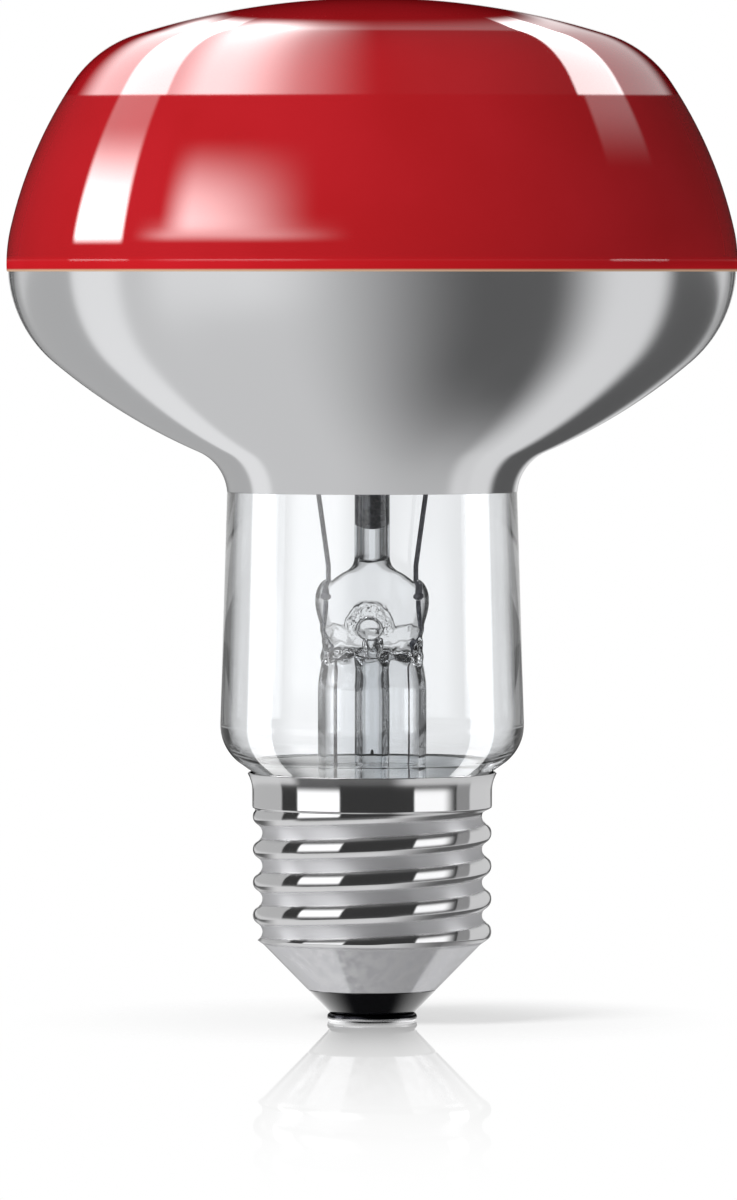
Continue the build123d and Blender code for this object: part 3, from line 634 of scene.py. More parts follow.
def ramp(value, low, high):
    share = np.clip((value - low) / (high - low), 0, 1)
    return share * share * (3 - 2 * share)


def joined(first, second, blend):
    """Both forms, with a fillet of about the blend's width."""
    overlap = np.maximum(blend - np.abs(first - second), 0) / blend
    return np.minimum(first, second) - overlap * overlap * blend / 4


def cut(first, second, blend):
    """The first form less the second."""
    return -joined(-first, second, blend)


def shared(first, second, blend):
    """What lies in both forms, with its edges eased."""
    return -joined(-first, -second, blend)


def ripple(x, y, z, pitch):
    """Smooth uneven waves about a given length in millimetres."""
    turn = 2 * pi / pitch
    first = np.sin(turn * (x + 0.4 * z) + 1.3) * np.sin(turn * (0.9 * y - 0.3 * z) + 0.4)
    second = np.sin(turn * (0.6 * x - 0.8 * z) * 1.7 + 2.1) * np.cos(turn * (0.7 * y + 0.5 * x) * 1.6)
    return 0.6 * first + 0.4 * second


def slot_shape(x, y, width, depth):
    """Section of a flattened tube, with round ends."""
    return np.hypot(np.maximum(np.abs(x) - (width - depth), 0), y) - depth


def tube_halves(z):
    """Half width and half depth of the tube, which is pressed flat as it rises."""
    flat = ramp(z, PRESS_START_Z, PRESS_FULL_Z)
    ear_rise = ramp(z, PRESS_FULL_Z, EAR_Z)
    ear_share = ((z - EAR_Z) / (EAR_TOP_Z - EAR_Z)).clip(0, None)
    ear_fall = np.sqrt(np.clip(1 - ear_share ** 2, 0, 1))
    half_width = TUBE_RADIUS + (PRESS_HALF_WAIST - TUBE_RADIUS) * flat
    half_width = half_width + (EAR_HALF_WIDTH - PRESS_HALF_WAIST) * ear_rise - EAR_PULL * (1 - ear_fall)
    half_depth = TUBE_RADIUS + (PRESS_HALF_DEPTH - TUBE_RADIUS) * flat
    return half_width, half_depth


def press_top(x):
    """Height of the press: a dome between two ears."""
    dome = DOME_Z + np.sqrt(np.clip(DOME_RADIUS ** 2 - x ** 2, 0.01, None))
    ear = EAR_TOP_Z - EAR_ROUND * (np.abs(x) - EAR_X) ** 2
    return np.where(np.abs(x) < EAR_INNER_X, dome, ear)


def melted(outer, x, y, z):
    """Uneven swelling, and a melted ridge and a hood over the blow hole on both faces."""
    melt = ramp(z, *MELT_FOOT_Z) * (1 - ramp(z, *MELT_TOP_Z))
    outer = outer - melt * (0.16 + 0.2 * ripple(x, y, z, 2.3))
    for side in (-1, 1):
        ridge = np.hypot(z - RIDGE_Z - 0.05 * x ** 2, y - side * RIDGE_Y) - RIDGE_RADIUS
        ridge = ridge + 0.12 * ripple(x, y, z, 1.4)
        outer = joined(outer, np.maximum(ridge, np.abs(x) - RIDGE_REACH), 0.6)
        hood = np.hypot(x - HOLE_X, (z - HOOD_Z) * 0.95) - HOOD_RADIUS
        hood = np.hypot(hood, y - side * HOOD_Y) - HOOD_THICKNESS
        hood = hood + 0.2 * ripple(x, y, z, 0.9)
        outer = joined(outer, np.maximum(hood, HOOD_FOOT_Z - z), 0.35)
    return outer


def with_exhaust(glass, radius, x, y, z):
    """Exhaust tube from below, its bore, and the blow hole at the front."""
    tube = np.maximum(radius - ROD_RADIUS, z - TUBE_TOP_Z)
    glass = joined(glass, tube, 0.6)
    bore = np.maximum(radius - BORE_RADIUS, z - BORE_TOP_Z)
    glass = cut(glass, bore, 0.2)
    hole = np.hypot((x - HOLE_X) / HOLE_HALF_WIDTH, (z - HOLE_Z) / HOLE_HALF_HEIGHT) - 1
    hole = hole * HOLE_HALF_HEIGHT
    return cut(glass, np.maximum(hole, y - HOLE_BACK_Y), 0.3)


def with_rod(glass, radius, x, z):
    """Hollow rod with a button on top and a melted ring at the foot of its bore."""
    rod = np.maximum(np.maximum(radius - ROD_RADIUS, ROD_BASE_Z - z), z - ROD_TOP_Z - 0.2)
    glass = joined(glass, rod, 1.1)
    past_side = np.maximum(radius - BUTTON_REACH, 0)
    past_end = np.maximum(np.abs(z - BUTTON_Z) - BUTTON_HALF_HEIGHT, 0)
    button = np.hypot(past_side, past_end) - BUTTON_ROUND
    glass = joined(glass, button, 0.4)
    bore_foot = ROD_FOOT_Z + ROD_BORE_SLANT * x
    rod_bore = np.maximum(radius - ROD_BORE_RADIUS, np.maximum(bore_foot - z, z - ROD_BORE_TOP_Z))
    glass = cut(glass, rod_bore, 0.2)
    ring = np.hypot(radius - RING_CENTRE, z - bore_foot - 0.1) - RING_THICKNESS
    return joined(glass, ring, 0.15)


def stem_field(x, y, z):
    """The whole stem above the net's foot: pressed tube, exhaust tube and rod."""
    radius = np.hypot(x, y)
    half_width, half_depth = tube_halves(z)
    outer = shared(slot_shape(x, y, half_width, half_depth), (z - press_top(x)) * 0.8, 0.6)
    ceiling = CEILING_Z + 0.45 * np.cos(pi * x / 4.2) + 0.35 * ripple(x, y, z, 2.0)
    inner = slot_shape(x, y, half_width - TUBE_WALL, half_depth - TUBE_WALL)
    glass = cut(melted(outer, x, y, z), shared(inner, z - ceiling, 0.9), 0.5)
    glass = with_exhaust(glass, radius, x, y, z)
    return np.maximum(with_rod(glass, radius, x, z), FIELD_FOOT_Z - z)


def net(field, low, step):
    """Quads round the negative side of a field, one point in each cell that its surface crosses."""
    inside = field < 0
    cells = tuple(n - 1 for n in field.shape)
    total = np.zeros(cells + (3,))
    count = np.zeros(cells)
    crossings = []
    for axis in range(3):
        others = [n for n in range(3) if n != axis]
        first = tuple(slice(0, -1) if n == axis else slice(None) for n in range(3))
        second = tuple(slice(1, None) if n == axis else slice(None) for n in range(3))
        changed = inside[first] != inside[second]
        found = np.argwhere(changed)
        start = field[first][changed]
        end = field[second][changed]
        share = start / (start - end)
        points = found.astype(float)
        points[:, axis] += share
        for shift_a in (0, 1):
            for shift_b in (0, 1):
                cell = found.copy()
                cell[:, others[0]] -= shift_a
                cell[:, others[1]] -= shift_b
                keep = ((cell >= 0) & (cell < cells)).all(axis=1)
                where = tuple(cell[keep].T)
                np.add.at(total, where, points[keep])
                np.add.at(count, where, 1)
        crossings.append((axis, others, found))
    used = count > 0
    index = -np.ones(cells, int)
    index[used] = np.arange(used.sum())
    verts = total[used] / count[used][:, None] * step + np.asarray(low)
    faces = []
    for axis, others, found in crossings:
        inner = ((found[:, others] > 0).all(axis=1)) & (found[:, others[0]] < cells[others[0]])
        inner &= found[:, others[1]] < cells[others[1]]
        found = found[inner]
        corner = []
        for shift_a, shift_b in ((0, 0), (1, 0), (1, 1), (0, 1)):
            cell = found.copy()
            cell[:, others[0]] -= shift_a
            cell[:, others[1]] -= shift_b
            corner.append(index[tuple(cell.T)])
        faces.append(np.stack(corner, axis=1))
    return verts, np.concatenate(faces)


def eased(verts, faces, rounds):
    """Move each point towards the mean of its neighbours, a little each round."""
    pairs = np.concatenate([faces[:, [0, 1]], faces[:, [1, 2]], faces[:, [2, 3]], faces[:, [3, 0]]])
    for _ in range(rounds):
        total = np.zeros_like(verts)
        count = np.zeros(len(verts))
        for a, b in ((0, 1), (1, 0)):
            np.add.at(total, pairs[:, a], verts[pairs[:, b]])
            np.add.at(count, pairs[:, a], 1)
        verts = verts + 0.5 * (total / count[:, None] - verts)
    return verts


def make_stem():
    low = np.array([-FIELD_HALF_WIDTH, -FIELD_HALF_DEPTH, FIELD_FOOT_Z - 2 * FIELD_STEP])
    high = np.array([FIELD_HALF_WIDTH, FIELD_HALF_DEPTH, FIELD_TOP_Z])
    shape = np.ceil((high - low) / FIELD_STEP).astype(int)
    axes = [low[n] + FIELD_STEP * np.arange(shape[n]) for n in range(3)]
    x, y, z = np.meshgrid(*axes, indexing="ij")
    verts, quads = net(stem_field(x, y, z), low, FIELD_STEP)
    verts = eased(verts, quads, 2)
    faces = quads.tolist()

    # Below the net the tube flares out to the neck's seal, and the exhaust tube tapers to its tip
    flare = np.array([TUBE_RADIUS + FLARE_BEND, SEAL_Z + FLARE_BEND])
    join_z = FIELD_FOOT_Z - 0.1
    seal_r = envelope_outline(0)[-1, 0]
    outer = np.concatenate([
        [(TUBE_RADIUS, join_z)],
        arc(flare, FLARE_BEND, 180, 270, 12),
        [(flare[0], SEAL_Z), (seal_r, SEAL_Z)],
    ])
    inner = np.concatenate([
        [(seal_r, SEAL_Z - TUBE_WALL), (flare[0], SEAL_Z - TUBE_WALL)],
        arc(flare, FLARE_BEND + TUBE_WALL, 270, 180, 12),
        [(TUBE_RADIUS - TUBE_WALL, SEAL_Z + FLARE_BEND), (TUBE_RADIUS - TUBE_WALL, join_z)],
    ])
    taper_z = TAIL_TIP_Z + TAIL_TAPER
    tip = [(ROD_RADIUS * sqrt(1 - s ** 2), taper_z - TAIL_TAPER * s) for s in np.linspace(0, 1, 10)]
    bore = [(BORE_RADIUS * sqrt(1 - s ** 2), taper_z - 1.7 * s) for s in np.linspace(1, 0, 8)]
    tail = [(ROD_RADIUS, join_z)] + tip + bore + [(BORE_RADIUS, join_z)]
    for outline in (np.concatenate([outer, inner]), tail):
        points = turned_points(outline, 96)
        faces += grid_faces(len(points), 96, True, len(verts))
        verts = np.concatenate([verts, points.reshape(-1, 3)])
    piece = shape_object("stem_glass", verts, faces, 70)
    dress(piece, "stem_glass", "stem_flare", "exhaust_tube", "arbor_rod")


# Cap shell: a turned sheet whose threaded stretch is a height field on angle and height


def thread_radius(turn, z, inset):
    depth = CREST_RADIUS - ROOT_RADIUS
    round_radius = (PITCH ** 2 / 16 + depth ** 2 / 4) / depth
    phase = (z - THREAD_START_Z - PITCH * turn / (2 * pi) + PITCH / 2) % PITCH - PITCH / 2
    across = np.abs(phase)
    crest = CREST_RADIUS - round_radius + np.sqrt(np.clip((round_radius - inset) ** 2 - across ** 2, 0, None))
    far = PITCH / 2 - across
    root = ROOT_RADIUS + round_radius - np.sqrt(np.clip((round_radius + inset) ** 2 - far ** 2, 0, None))
    return np.where(across < PITCH / 4 * (1 - inset / round_radius), crest, root)


def cap_radius(turn, z, inset):
    """Outer form of the cap at an angle and height, drawn in by the inset."""
    slope = (CONE_TOP_RADIUS - CONE_BOTTOM_RADIUS) / (CONE_TOP_Z - CONE_BOTTOM_Z)
    cone = CONE_BOTTOM_RADIUS + (z - CONE_BOTTOM_Z) * slope - inset * sqrt(1 + slope ** 2)
    spread = (CREST_RADIUS + 0.05 - CONE_TOP_RADIUS) / (RUNOUT_Z - CONE_TOP_Z)
    runout = CONE_TOP_RADIUS + (z - CONE_TOP_Z) * spread
    thread = np.minimum(thread_radius(turn, z, inset), runout - inset)
    lower = np.where(z < CONE_TOP_Z, cone, thread)
    step_up = ramp(z, BAND_BOTTOM_Z - BAND_STEP, BAND_BOTTOM_Z + 0.15)
    flare = (RIM_RADIUS - BAND_RADIUS) * np.clip((z - FLARE_Z) / (RIM_Z - FLARE_Z), 0, 1) ** 2.2
    band = ROOT_RADIUS + (BAND_RADIUS - ROOT_RADIUS) * step_up + flare - inset
    return np.where(z < BAND_BOTTOM_Z - BAND_STEP, lower, np.maximum(lower, band))


def slope_normals(turn, z, inset):
    """Outward normals of the cap's form, from its slopes across a small step each way."""
    step = 0.02
    radius = cap_radius(turn, z, inset)
    small_turn = step / ROOT_RADIUS
    around = cap_radius(turn + small_turn, z, inset) - cap_radius(turn - small_turn, z, inset)
    around = around / (2 * small_turn)
    upwards = (cap_radius(turn, z + step, inset) - cap_radius(turn, z - step, inset)) / (2 * step)
    across = np.cos(turn) * radius + np.sin(turn) * around
    along = np.sin(turn) * radius - np.cos(turn) * around
    normals = np.stack([across, along, -upwards * radius], axis=1)
    return normals / np.linalg.norm(normals, axis=1)[:, None]


def make_cap():
    columns = 216
    turn = np.arange(columns) * 2 * pi / columns
    outer_z = np.concatenate([
        np.linspace(CONE_BOTTOM_Z, CONE_TOP_Z, 10, endpoint=False),
        np.linspace(CONE_TOP_Z, BAND_BOTTOM_Z + 0.4, 92, endpoint=False),
        np.linspace(BAND_BOTTOM_Z + 0.4, RIM_Z - LIP_HEIGHT, 18),
    ])
    rows = []
    normals = []
    for z in outer_z:
        rows.append((cap_radius(turn, z, 0), z))
        normals.append(slope_normals(turn, z, 0))

    # The rolled lip is a half round over the sheet's edge
    lip_outer = rows[-1][0]
    lip_z = RIM_Z - LIP_HEIGHT
    for angle in np.linspace(0, pi, 7)[1:-1]:
        rows.append((lip_outer - CAP_SHEET / 2 * (1 - cos(angle)), lip_z + LIP_HEIGHT * sin(angle)))
        level = np.full(columns, sin(angle))
        normals.append(np.stack([cos(angle) * np.cos(turn), cos(angle) * np.sin(turn), level], axis=1))
    for z in np.linspace(lip_z, CONE_BOTTOM_Z, 64):
        rows.append((cap_radius(turn, z, CAP_SHEET), z))
        normals.append(-slope_normals(turn, z, CAP_SHEET))
    points = np.zeros((len(rows), columns, 3))
    for number, (radius, z) in enumerate(rows):
        points[number, :, 0] = radius * np.cos(turn)
        points[number, :, 1] = radius * np.sin(turn)
        points[number, :, 2] = z
    piece = shape_object("screw_shell", points.reshape(-1, 3), grid_faces(len(rows), columns, True))
    piece.data.normals_split_custom_set_from_vertices(np.concatenate(normals).tolist())
    dress(piece, "cap_metal", "cap_shell")


def make_insulator():
    """Glass insulator with a fire-rounded foot, seated in the cone."""
    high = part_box("cap_insulator")[1]
    top_z = high.z / MILLIMETRE
    seat_slope = (CONE_TOP_RADIUS - CONE_BOTTOM_RADIUS) / (CONE_TOP_Z - CONE_BOTTOM_Z)
    seat_r = CONE_BOTTOM_RADIUS - (CAP_SHEET + 0.02) * sqrt(1 + seat_slope ** 2)
    hole_r = CONTACT_HOLE + 0.45
    insulator = [
        (hole_r, FOOT_Z),
        (FOOT_RADIUS - 0.25, FOOT_Z),
        (FOOT_RADIUS - 0.05, FOOT_Z + 0.1),
        (FOOT_RADIUS + 0.12, FOOT_Z + 0.33),
        (CONE_BOTTOM_RADIUS - 0.22, CONE_BOTTOM_Z - 0.26),
        (CONE_BOTTOM_RADIUS - 0.12, CONE_BOTTOM_Z - 0.1),
        (CONE_BOTTOM_RADIUS - 0.2, CONE_BOTTOM_Z - 0.02),
        (seat_r, CONE_BOTTOM_Z),
        (seat_r + seat_slope * (top_z - CONE_BOTTOM_Z), top_z),
        (6.5, top_z),
        (hole_r, CONTACT_TOP_Z),
    ]
    dress(turned("insulator", insulator, 96, True, 30), "black_glass", "cap_insulator")


def make_contact():
    """Contact plate with a round edge and an eyelet up through the insulator."""
    half = CONTACT_THICKNESS / 2
    angles = np.linspace(-pi / 2, pi / 2, 11)
    edge = [(CONTACT_RADIUS - 0.4 * (1 - cos(a)), half + half * sin(a)) for a in angles]
    eyelet = CONTACT_HOLE + 0.4
    plate = [(CONTACT_HOLE, half), (1.9, 0.04), (2.2, 0.0)] + edge
    plate += [(eyelet, CONTACT_THICKNESS), (eyelet, CONTACT_TOP_Z), (CONTACT_HOLE, CONTACT_TOP_Z)]
    dress(turned("contact_plate", plate, 96, True, 40), "contact_metal", "centre_contact")


# Filament: a wound coil bent to a C between the two leads


def make_filament():
    count = COIL_TURNS * 9
    share = np.linspace(0, 1, count)
    bend = np.radians(COIL_START + COIL_SWEEP * share)
    wind = 2 * pi * COIL_TURNS * share
    out = RING_RADIUS + COIL_RADIUS * np.cos(wind)
    height = FILAMENT_Z + COIL_RADIUS * np.sin(wind)
    centre = np.stack([out * np.cos(bend), out * np.sin(bend), height], axis=1)
    forward = np.gradient(centre, axis=0)
    forward /= np.linalg.norm(forward, axis=1)[:, None]
    ring = np.stack([np.cos(bend), np.sin(bend), np.zeros(count)], axis=1)
    axis = np.stack([np.zeros(count), np.zeros(count), np.ones(count)], axis=1)
    outward = ring * np.cos(wind)[:, None] + axis * np.sin(wind)[:, None]
    beside = np.cross(forward, outward)
    rows = []
    for angle in np.arange(4) * pi / 2:
        rows.append(centre + COIL_WIRE * (outward * cos(angle) + beside * sin(angle)))
    points = np.stack(rows, axis=1)
    ends = [np.repeat(centre[:1], 4, axis=0), np.repeat(centre[-1:], 4, axis=0)]
    points = np.concatenate([ends[0][None], points, ends[1][None]])
    piece = shape_object("filament_coil", points.reshape(-1, 3), grid_faces(len(points), 4, False))
    dress(piece, "tungsten", "filament")


def make_core():
    """Dark pin in the rod, with a long rounded foot."""
    low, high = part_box("rod_core")
    radius = high.x / MILLIMETRE
    foot = low.z / MILLIMETRE
    top = high.z / MILLIMETRE
    outline = [(radius * sin(a), foot + CORE_END * (1 - cos(a))) for a in np.linspace(0, pi / 2, 12)]
    piece = turned("core_pin", outline + [(radius, top), (0, top)], 48, False, 40)
    dress(piece, "dark_pin", "rod_core")


make_envelope()
make_film()
make_lacquer()
make_stem()
make_cap()
make_insulator()
make_contact()
make_filament()
make_core()

# CAD nodes whose shape is right keep it and get their material
carried = {
    "inner_lead_left": "lead_wire", "inner_lead_right": "lead_wire",
    "seal_wire_left": "seal_wire", "seal_wire_right": "seal_wire",
    "contact_lead": "copper_wire", "side_lead": "copper_wire",
    "support_wire_1": "support_wire", "support_wire_2": "support_wire", "support_wire_3": "support_wire",
    "contact_solder": "solder", "side_solder": "solder", "cap_cement": "cement",
}
for name, slot in carried.items():
    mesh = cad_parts[name].data
    mesh.materials.clear()
    mesh.materials.append(materials[slot])


# Studio: what gloss and glass see. A mirrored ray tells the direction of the surface that
# mirrored it towards a viewer straight ahead, and the panels are placed in those terms.


def window(tree, value, span, soft):
    low, high = span
    soft_low, soft_high = soft
    up = rise(tree, value, low - soft_low, low + soft_low)
    down = rise(tree, value, high - soft_high, high + soft_high, 1.0, 0.0)
    return product(tree, up, down)


# Zones upwards (sine of the surface's tilt), one for each material's gloss
OVERHEAD = (0.522, 0.962)
NECK = (-0.016, 0.028)
CAP_UPPER = (-0.0475, -0.016)
CAP_CREST = (-0.10, -0.0475)
CREST_WINDOW = (-0.090, -0.058)
CAP_FLARE = (-0.1175, -0.10)
CAP_LOWER = (-0.145, -0.1175)
CONE = (-0.21, -0.145)
BOWL = (-0.45, -0.21)
BELOW = (-1.2, -0.45)

# Spans across (sine of the surface's azimuth) and softness of a panel's two edges
TIGHT = (0.003, 0.003)
ALL_ROUND = (-1.2, 1.2)
CAP_ROUND = (-0.985, 0.985)
CRISP = (0.008, 0.008)

# Each panel: span across and its softness, span upwards and its softness, brightness
PANELS = {
    "overhead_left": ((-0.92, -0.22), (0.04, 0.26), OVERHEAD, (0.003, 0.008), 2.3),
    "overhead_glow": ((-0.60, -0.36), (0.06, 0.14), OVERHEAD, (0.003, 0.008), 2.2),
    "overhead_right": ((0.0, 0.97), (0.2, 0.02), OVERHEAD, (0.003, 0.010), 0.05),
    "overhead_lip": (ALL_ROUND, CRISP, (0.945, 0.962), CRISP, 0.25),
    "high_strip_left": ((-0.81, -0.66), (0.006, 0.006), OVERHEAD, (0.003, 0.008), 2.8),
    "high_strip_right": ((0.66, 0.81), (0.006, 0.006), OVERHEAD, (0.003, 0.008), 4.4),
    "high_glow_right": ((0.80, 0.96), (0.01, 0.02), OVERHEAD, (0.003, 0.008), 0.9),
    "side_strip_left": ((-0.81, -0.68), CRISP, (0.19, 0.522), (0.05, 0.003), 0.8),
    "side_strip_glow": ((-0.81, -0.68), CRISP, (0.14, 0.34), (0.03, 0.12), 8.0),
    "side_strip_right": ((0.68, 0.81), CRISP, (0.43, 0.522), (0.08, 0.003), 0.6),
    "side_glow": ((-0.54, -0.34), (0.05, 0.20), (0.20, 0.33), (0.05, 0.10), 4.2),
    "side_glow_low": ((-0.60, -0.20), (0.06, 0.16), (0.15, 0.20), (0.03, 0.06), 2.2),
    "side_base": (ALL_ROUND, CRISP, (0.03, 0.522), (0.01, 0.003), 0.02),
    "neck_base": (ALL_ROUND, CRISP, NECK, TIGHT, 0.3),
    "neck_strip_left": ((-0.82, -0.66), CRISP, NECK, TIGHT, 5.0),
    "neck_window": ((-0.56, -0.18), (0.08, 0.10), NECK, TIGHT, 3.0),
    "neck_strip_right": ((0.645, 0.80), CRISP, NECK, TIGHT, 5.0),
    "upper_base": (CAP_ROUND, CRISP, CAP_UPPER, TIGHT, 0.15),
    "upper_left": ((-0.80, -0.10), (0.10, 0.20), CAP_UPPER, TIGHT, 0.16),
    "crest_left": ((-0.985, -0.75), (0.006, 0.01), CAP_CREST, TIGHT, 0.45),
    "crest_white_left": ((-0.62, -0.27), (0.01, 0.01), CREST_WINDOW, (0.006, 0.006), 1.25),
    "crest_white_right": ((0.35, 0.64), (0.01, 0.06), CREST_WINDOW, (0.006, 0.006), 1.1),
    "crest_grey": ((0.70, 0.81), (0.01, 0.01), CAP_CREST, TIGHT, 0.24),
    "crest_right": ((0.81, 0.985), (0.01, 0.006), CAP_CREST, TIGHT, 0.6),
    "crest_base": (ALL_ROUND, CRISP, CAP_CREST, TIGHT, 0.04),
    "flare_left": ((-0.99, -0.62), (0.01, 0.05), CAP_FLARE, TIGHT, 0.55),
    "flare_right": ((0.22, 0.99), (0.10, 0.01), CAP_FLARE, TIGHT, 0.50),
    "flare_base": (ALL_ROUND, CRISP, CAP_FLARE, TIGHT, 0.12),
    "lower_base": (CAP_ROUND, CRISP, CAP_LOWER, TIGHT, 0.10),
    "lower_streak": ((-0.85, 0.35), (0.08, 0.30), CAP_LOWER, TIGHT, 0.6),
    "cone_base": (ALL_ROUND, CRISP, CONE, TIGHT, 0.36),
    "cone_left": ((-0.97, -0.33), (0.01, 0.01), CONE, TIGHT, 0.26),
    "cone_right": ((0.60, 0.97), (0.01, 0.01), CONE, TIGHT, 0.28),
    "bowl_base": (ALL_ROUND, CRISP, BOWL, TIGHT, 0.10),
    "bowl_left": ((-0.99, -0.82), (0.02, 0.01), BOWL, TIGHT, 0.33),
    "bowl_strip_left": ((-0.82, -0.69), (0.01, 0.02), BOWL, TIGHT, 0.72),
    "bowl_middle": ((-0.69, 0.02), (0.02, 0.30), BOWL, TIGHT, 0.50),
    "bowl_strip_right": ((0.58, 0.81), (0.10, 0.03), BOWL, TIGHT, 0.62),
    "bowl_right": ((0.975, 1.2), (0.02, 0.01), BOWL, TIGHT, 0.7),
    "bowl_foot": ((0.02, 0.60), (0.30, 0.06), (-0.46, -0.360), (0.01, 0.027), 0.42),
    "bowl_glow": ((-0.60, -0.20), (0.06, 0.16), (-0.285, -0.20), (0.010, 0.003), 0.16),
    "below_base": (ALL_ROUND, CRISP, BELOW, (0.05, 0.003), 0.03),
    "below_left": ((-0.99, -0.60), (0.01, 0.25), BELOW, (0.05, 0.003), 1.6),
    "below_right": ((0.55, 0.99), (0.20, 0.01), BELOW, (0.05, 0.003), 1.3),
}

# What each kind of ray sees of the world: rays that scattered see a plain level, rays through
# glass see dark sides and a light back, and the floor's mirror image sees a white horizon
CAMERA_WHITE = 1.0
PLAIN_LIGHT = 0.30
DARK_SIDE = 0.02
GREY_SIDE = 0.58
SIDE_SPAN = (0.72, 0.93)
BEHIND_NECK = 0.95
BEHIND_SPAN = (0.957, 0.985)
FRONT = 0.6
FRONT_SPAN = (-0.5, -0.1)
THROUGH_GLASS = 0.5
VIEW_DROP = -0.045
FALLING = -0.004
NECK_EDGE = 0.72
NECK_EDGE_SPAN = (0.022, 0.030)
HORIZON_SPREAD = (-0.09, 0.09)
HORIZON_CLIMB = (0.05, 0.10)


def seen_panels(tree, ray, climb):
    """Sum of the panels that a mirrored ray meets."""
    drop = rise(tree, climb, FALLING, -FALLING, VIEW_DROP, 0)
    ahead = node(tree, "ShaderNodeCombineXYZ", {1: 1.0, 2: drop}).outputs[0]
    surface = vector(tree, "NORMALIZE", vector(tree, "SUBTRACT", ray, ahead))
    x, y, up = node(tree, "ShaderNodeSeparateXYZ", {0: surface}).outputs
    squares = maths(tree, "ADD", product(tree, x, x), product(tree, y, y))
    across = maths(tree, "DIVIDE", x, maths(tree, "MAXIMUM", maths(tree, "SQRT", squares), 0.0001))
    falling = rise(tree, climb, FALLING, 0.0, 1.0, 0.0)
    total = product(tree, falling, rise(tree, up, *NECK_EDGE_SPAN, 0.0, NECK_EDGE))
    for across_span, across_soft, up_span, up_soft, strength in PANELS.values():
        share = product(tree, window(tree, across, across_span, across_soft),
                        window(tree, up, up_span, up_soft))
        total = maths(tree, "ADD", total, product(tree, share, strength))
    return total


def seen_horizon(tree, sideways, depth, climb):
    """Share of a mirrored ray that goes back and slightly up, as from the floor by the bulb."""
    spot = product(tree, window(tree, sideways, HORIZON_SPREAD, (0.02, 0.02)),
                   window(tree, climb, HORIZON_CLIMB, (0.01, 0.01)))
    return product(tree, spot, rise(tree, depth, 0, 0.1))


def seen_through(tree, depth):
    """What a ray bent by glass sees, by how far it still runs straight back."""
    sides = rise(tree, depth, *SIDE_SPAN, DARK_SIDE, GREY_SIDE)
    front = rise(tree, depth, *FRONT_SPAN, FRONT, 0)
    back = rise(tree, depth, *BEHIND_SPAN, 0.0, BEHIND_NECK - GREY_SIDE)
    return maths(tree, "ADD", maths(tree, "ADD", sides, front), back)


def make_world():
    world = bpy.data.worlds.new("studio")
    world.use_nodes = True
    tree = world.node_tree
    tree.nodes.clear()
    ray = node(tree, "ShaderNodeTexCoord").outputs["Generated"]
    sideways, depth, climb = node(tree, "ShaderNodeSeparateXYZ", {0: ray}).outputs
    path = node(tree, "ShaderNodeLightPath").outputs
    through = path["Is Transmission Ray"]
    mirrored = maths(tree, "GREATER_THAN", path["Glossy Depth"], 0.5)
    scattered = maths(tree, "GREATER_THAN", path["Diffuse Depth"], 0.5)
    panels = chosen(tree, seen_horizon(tree, sideways, depth, climb), CAMERA_WHITE,
                    seen_panels(tree, ray, climb))
    panels = product(tree, panels, rise(tree, through, 0, 1, 1.0, THROUGH_GLASS))
    brightness = chosen(tree, through, seen_through(tree, depth), PLAIN_LIGHT)
    brightness = chosen(tree, mirrored, panels, brightness)
    brightness = chosen(tree, scattered, PLAIN_LIGHT, brightness)
    brightness = chosen(tree, path["Is Camera Ray"], CAMERA_WHITE, brightness)
    shade = node(tree, "ShaderNodeBackground", {"Color": (1, 1, 1, 1), "Strength": brightness})
    output = node(tree, "ShaderNodeOutputWorld")
    feed(tree, output.inputs["Surface"], shade.outputs[0])
    bpy.context.scene.world = world


# Floor: distances from the bulb's foot in millimetres
GROUND_FADE = (10, 42)
SHINE = 0.9
SHINE_REACH = 70
SHINE_END = (120, 220)
FLOOR_REACH = 3500


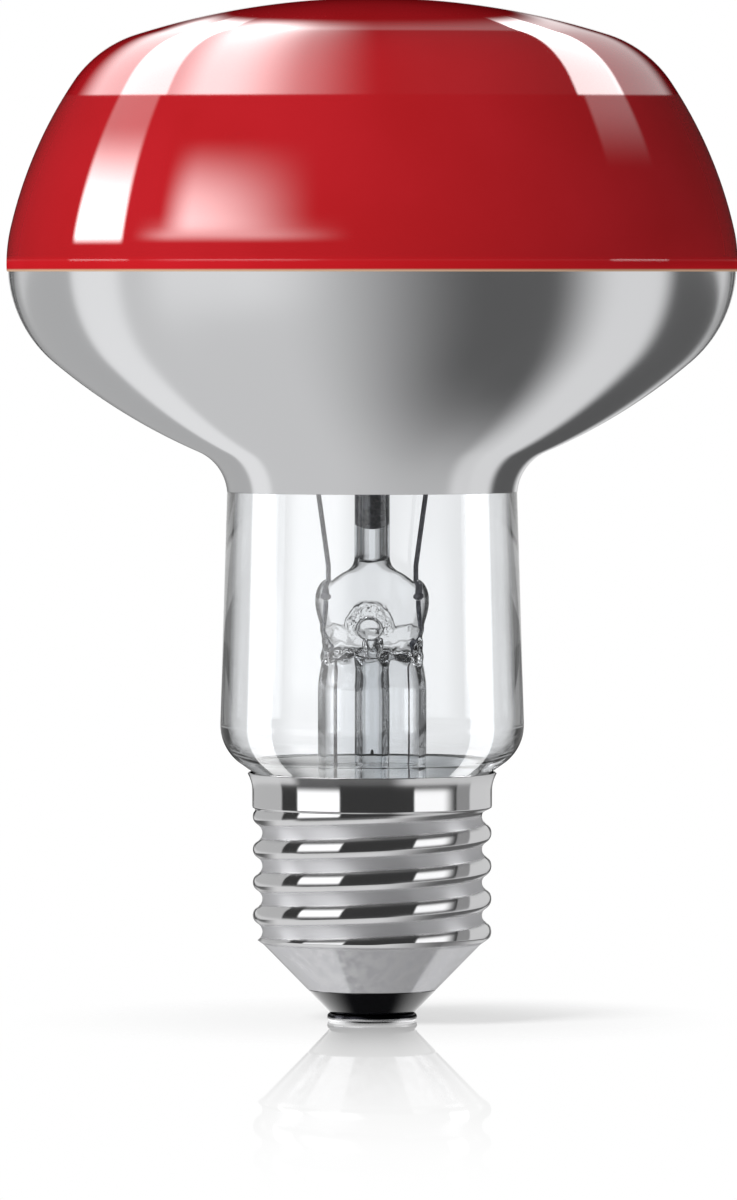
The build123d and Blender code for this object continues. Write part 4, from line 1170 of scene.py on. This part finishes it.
def make_floor():
    """White surface that keeps the soft shadow and a mirror image that fades away from the bulb."""
    made, tree, output = blank_material("floor_white")
    spot = node(tree, "ShaderNodeVectorMath", {0: place(tree)}, operation="LENGTH").outputs["Value"]
    far = rise_mm(tree, spot, *GROUND_FADE)
    diffuse = node(tree, "ShaderNodeBsdfDiffuse", {"Color": (0.86, 0.86, 0.86, 1)})
    fill = node(tree, "ShaderNodeEmission", {"Color": (1, 1, 1, 1), "Strength": 0.22})
    lit = node(tree, "ShaderNodeAddShader", {0: diffuse.outputs[0], 1: fill.outputs[0]})
    white = node(tree, "ShaderNodeEmission", {"Color": (1, 1, 1, 1), "Strength": 1.0})
    ground = node(tree, "ShaderNodeMixShader", {0: far, 1: lit.outputs[0], 2: white.outputs[0]})
    fade = maths(tree, "POWER", maths(tree, "DIVIDE", spot, SHINE_REACH * MILLIMETRE), 1.2)
    shine = product(tree, maths(tree, "EXPONENT", product(tree, fade, -1.0)), SHINE)
    facing = node(tree, "ShaderNodeLayerWeight", {"Blend": 0.5}).outputs["Facing"]
    shine = product(tree, shine, maths(tree, "POWER", facing, 6.0))
    shine = product(tree, shine, rise_mm(tree, spot, *SHINE_END, 1.0, 0.0))
    gloss = node(tree, "ShaderNodeBsdfGlossy", {"Color": (1, 1, 1, 1), "Roughness": 0.02})
    final = node(tree, "ShaderNodeMixShader", {0: shine, 1: ground.outputs[0], 2: gloss.outputs[0]})
    feed(tree, output.inputs["Surface"], final.outputs[0])
    rings = [(0, 0), (50, 0), (200, 0), (800, 0), (FLOOR_REACH, 0)]
    floor = turned("floor", rings, 64, False)
    floor.data.materials.append(made)
    floor.visible_glossy = False
    floor.visible_transmission = False


def make_lamp(name, spot, size, power):
    """A soft area lamp aimed at the bulb, which gloss and glass don't see."""
    data = bpy.data.lights.new(name, "AREA")
    data.shape = "SQUARE"
    data.size = size
    data.energy = power
    lamp = bpy.data.objects.new(name, data)
    bpy.context.scene.collection.objects.link(lamp)
    lamp.location = spot
    lamp.visible_glossy = False
    lamp.visible_transmission = False
    aim = bpy.data.objects["camera_target"].location - lamp.location
    lamp.rotation_euler = aim.to_track_quat("-Z", "Y").to_euler()


# Camera, in metres and its lens in millimetres
CAMERA_AIM = (-0.0004, 0, 0.0462)
CAMERA_PLACE = (-0.0004, -1.1, 0.082)
CAMERA_LENS = 301.1
SENSOR = 36


def make_camera():
    """Long lens straight ahead of the bulb, a little above its middle."""
    target = bpy.data.objects.new("camera_target", None)
    bpy.context.scene.collection.objects.link(target)
    target.location = CAMERA_AIM
    data = bpy.data.cameras.new("camera")
    data.sensor_fit = "VERTICAL"
    data.sensor_height = SENSOR
    data.sensor_width = SENSOR
    data.lens = CAMERA_LENS
    camera = bpy.data.objects.new("camera", data)
    bpy.context.scene.collection.objects.link(camera)
    camera.location = CAMERA_PLACE
    aim = target.location - camera.location
    camera.rotation_euler = aim.to_track_quat("-Z", "Y").to_euler()
    bpy.context.scene.camera = camera


make_world()
make_camera()
make_floor()
make_lamp("key_lamp", (-0.47, -0.46, 0.54), 0.3, 5.6)
bpy.context.scene.view_settings.view_transform = "Standard"
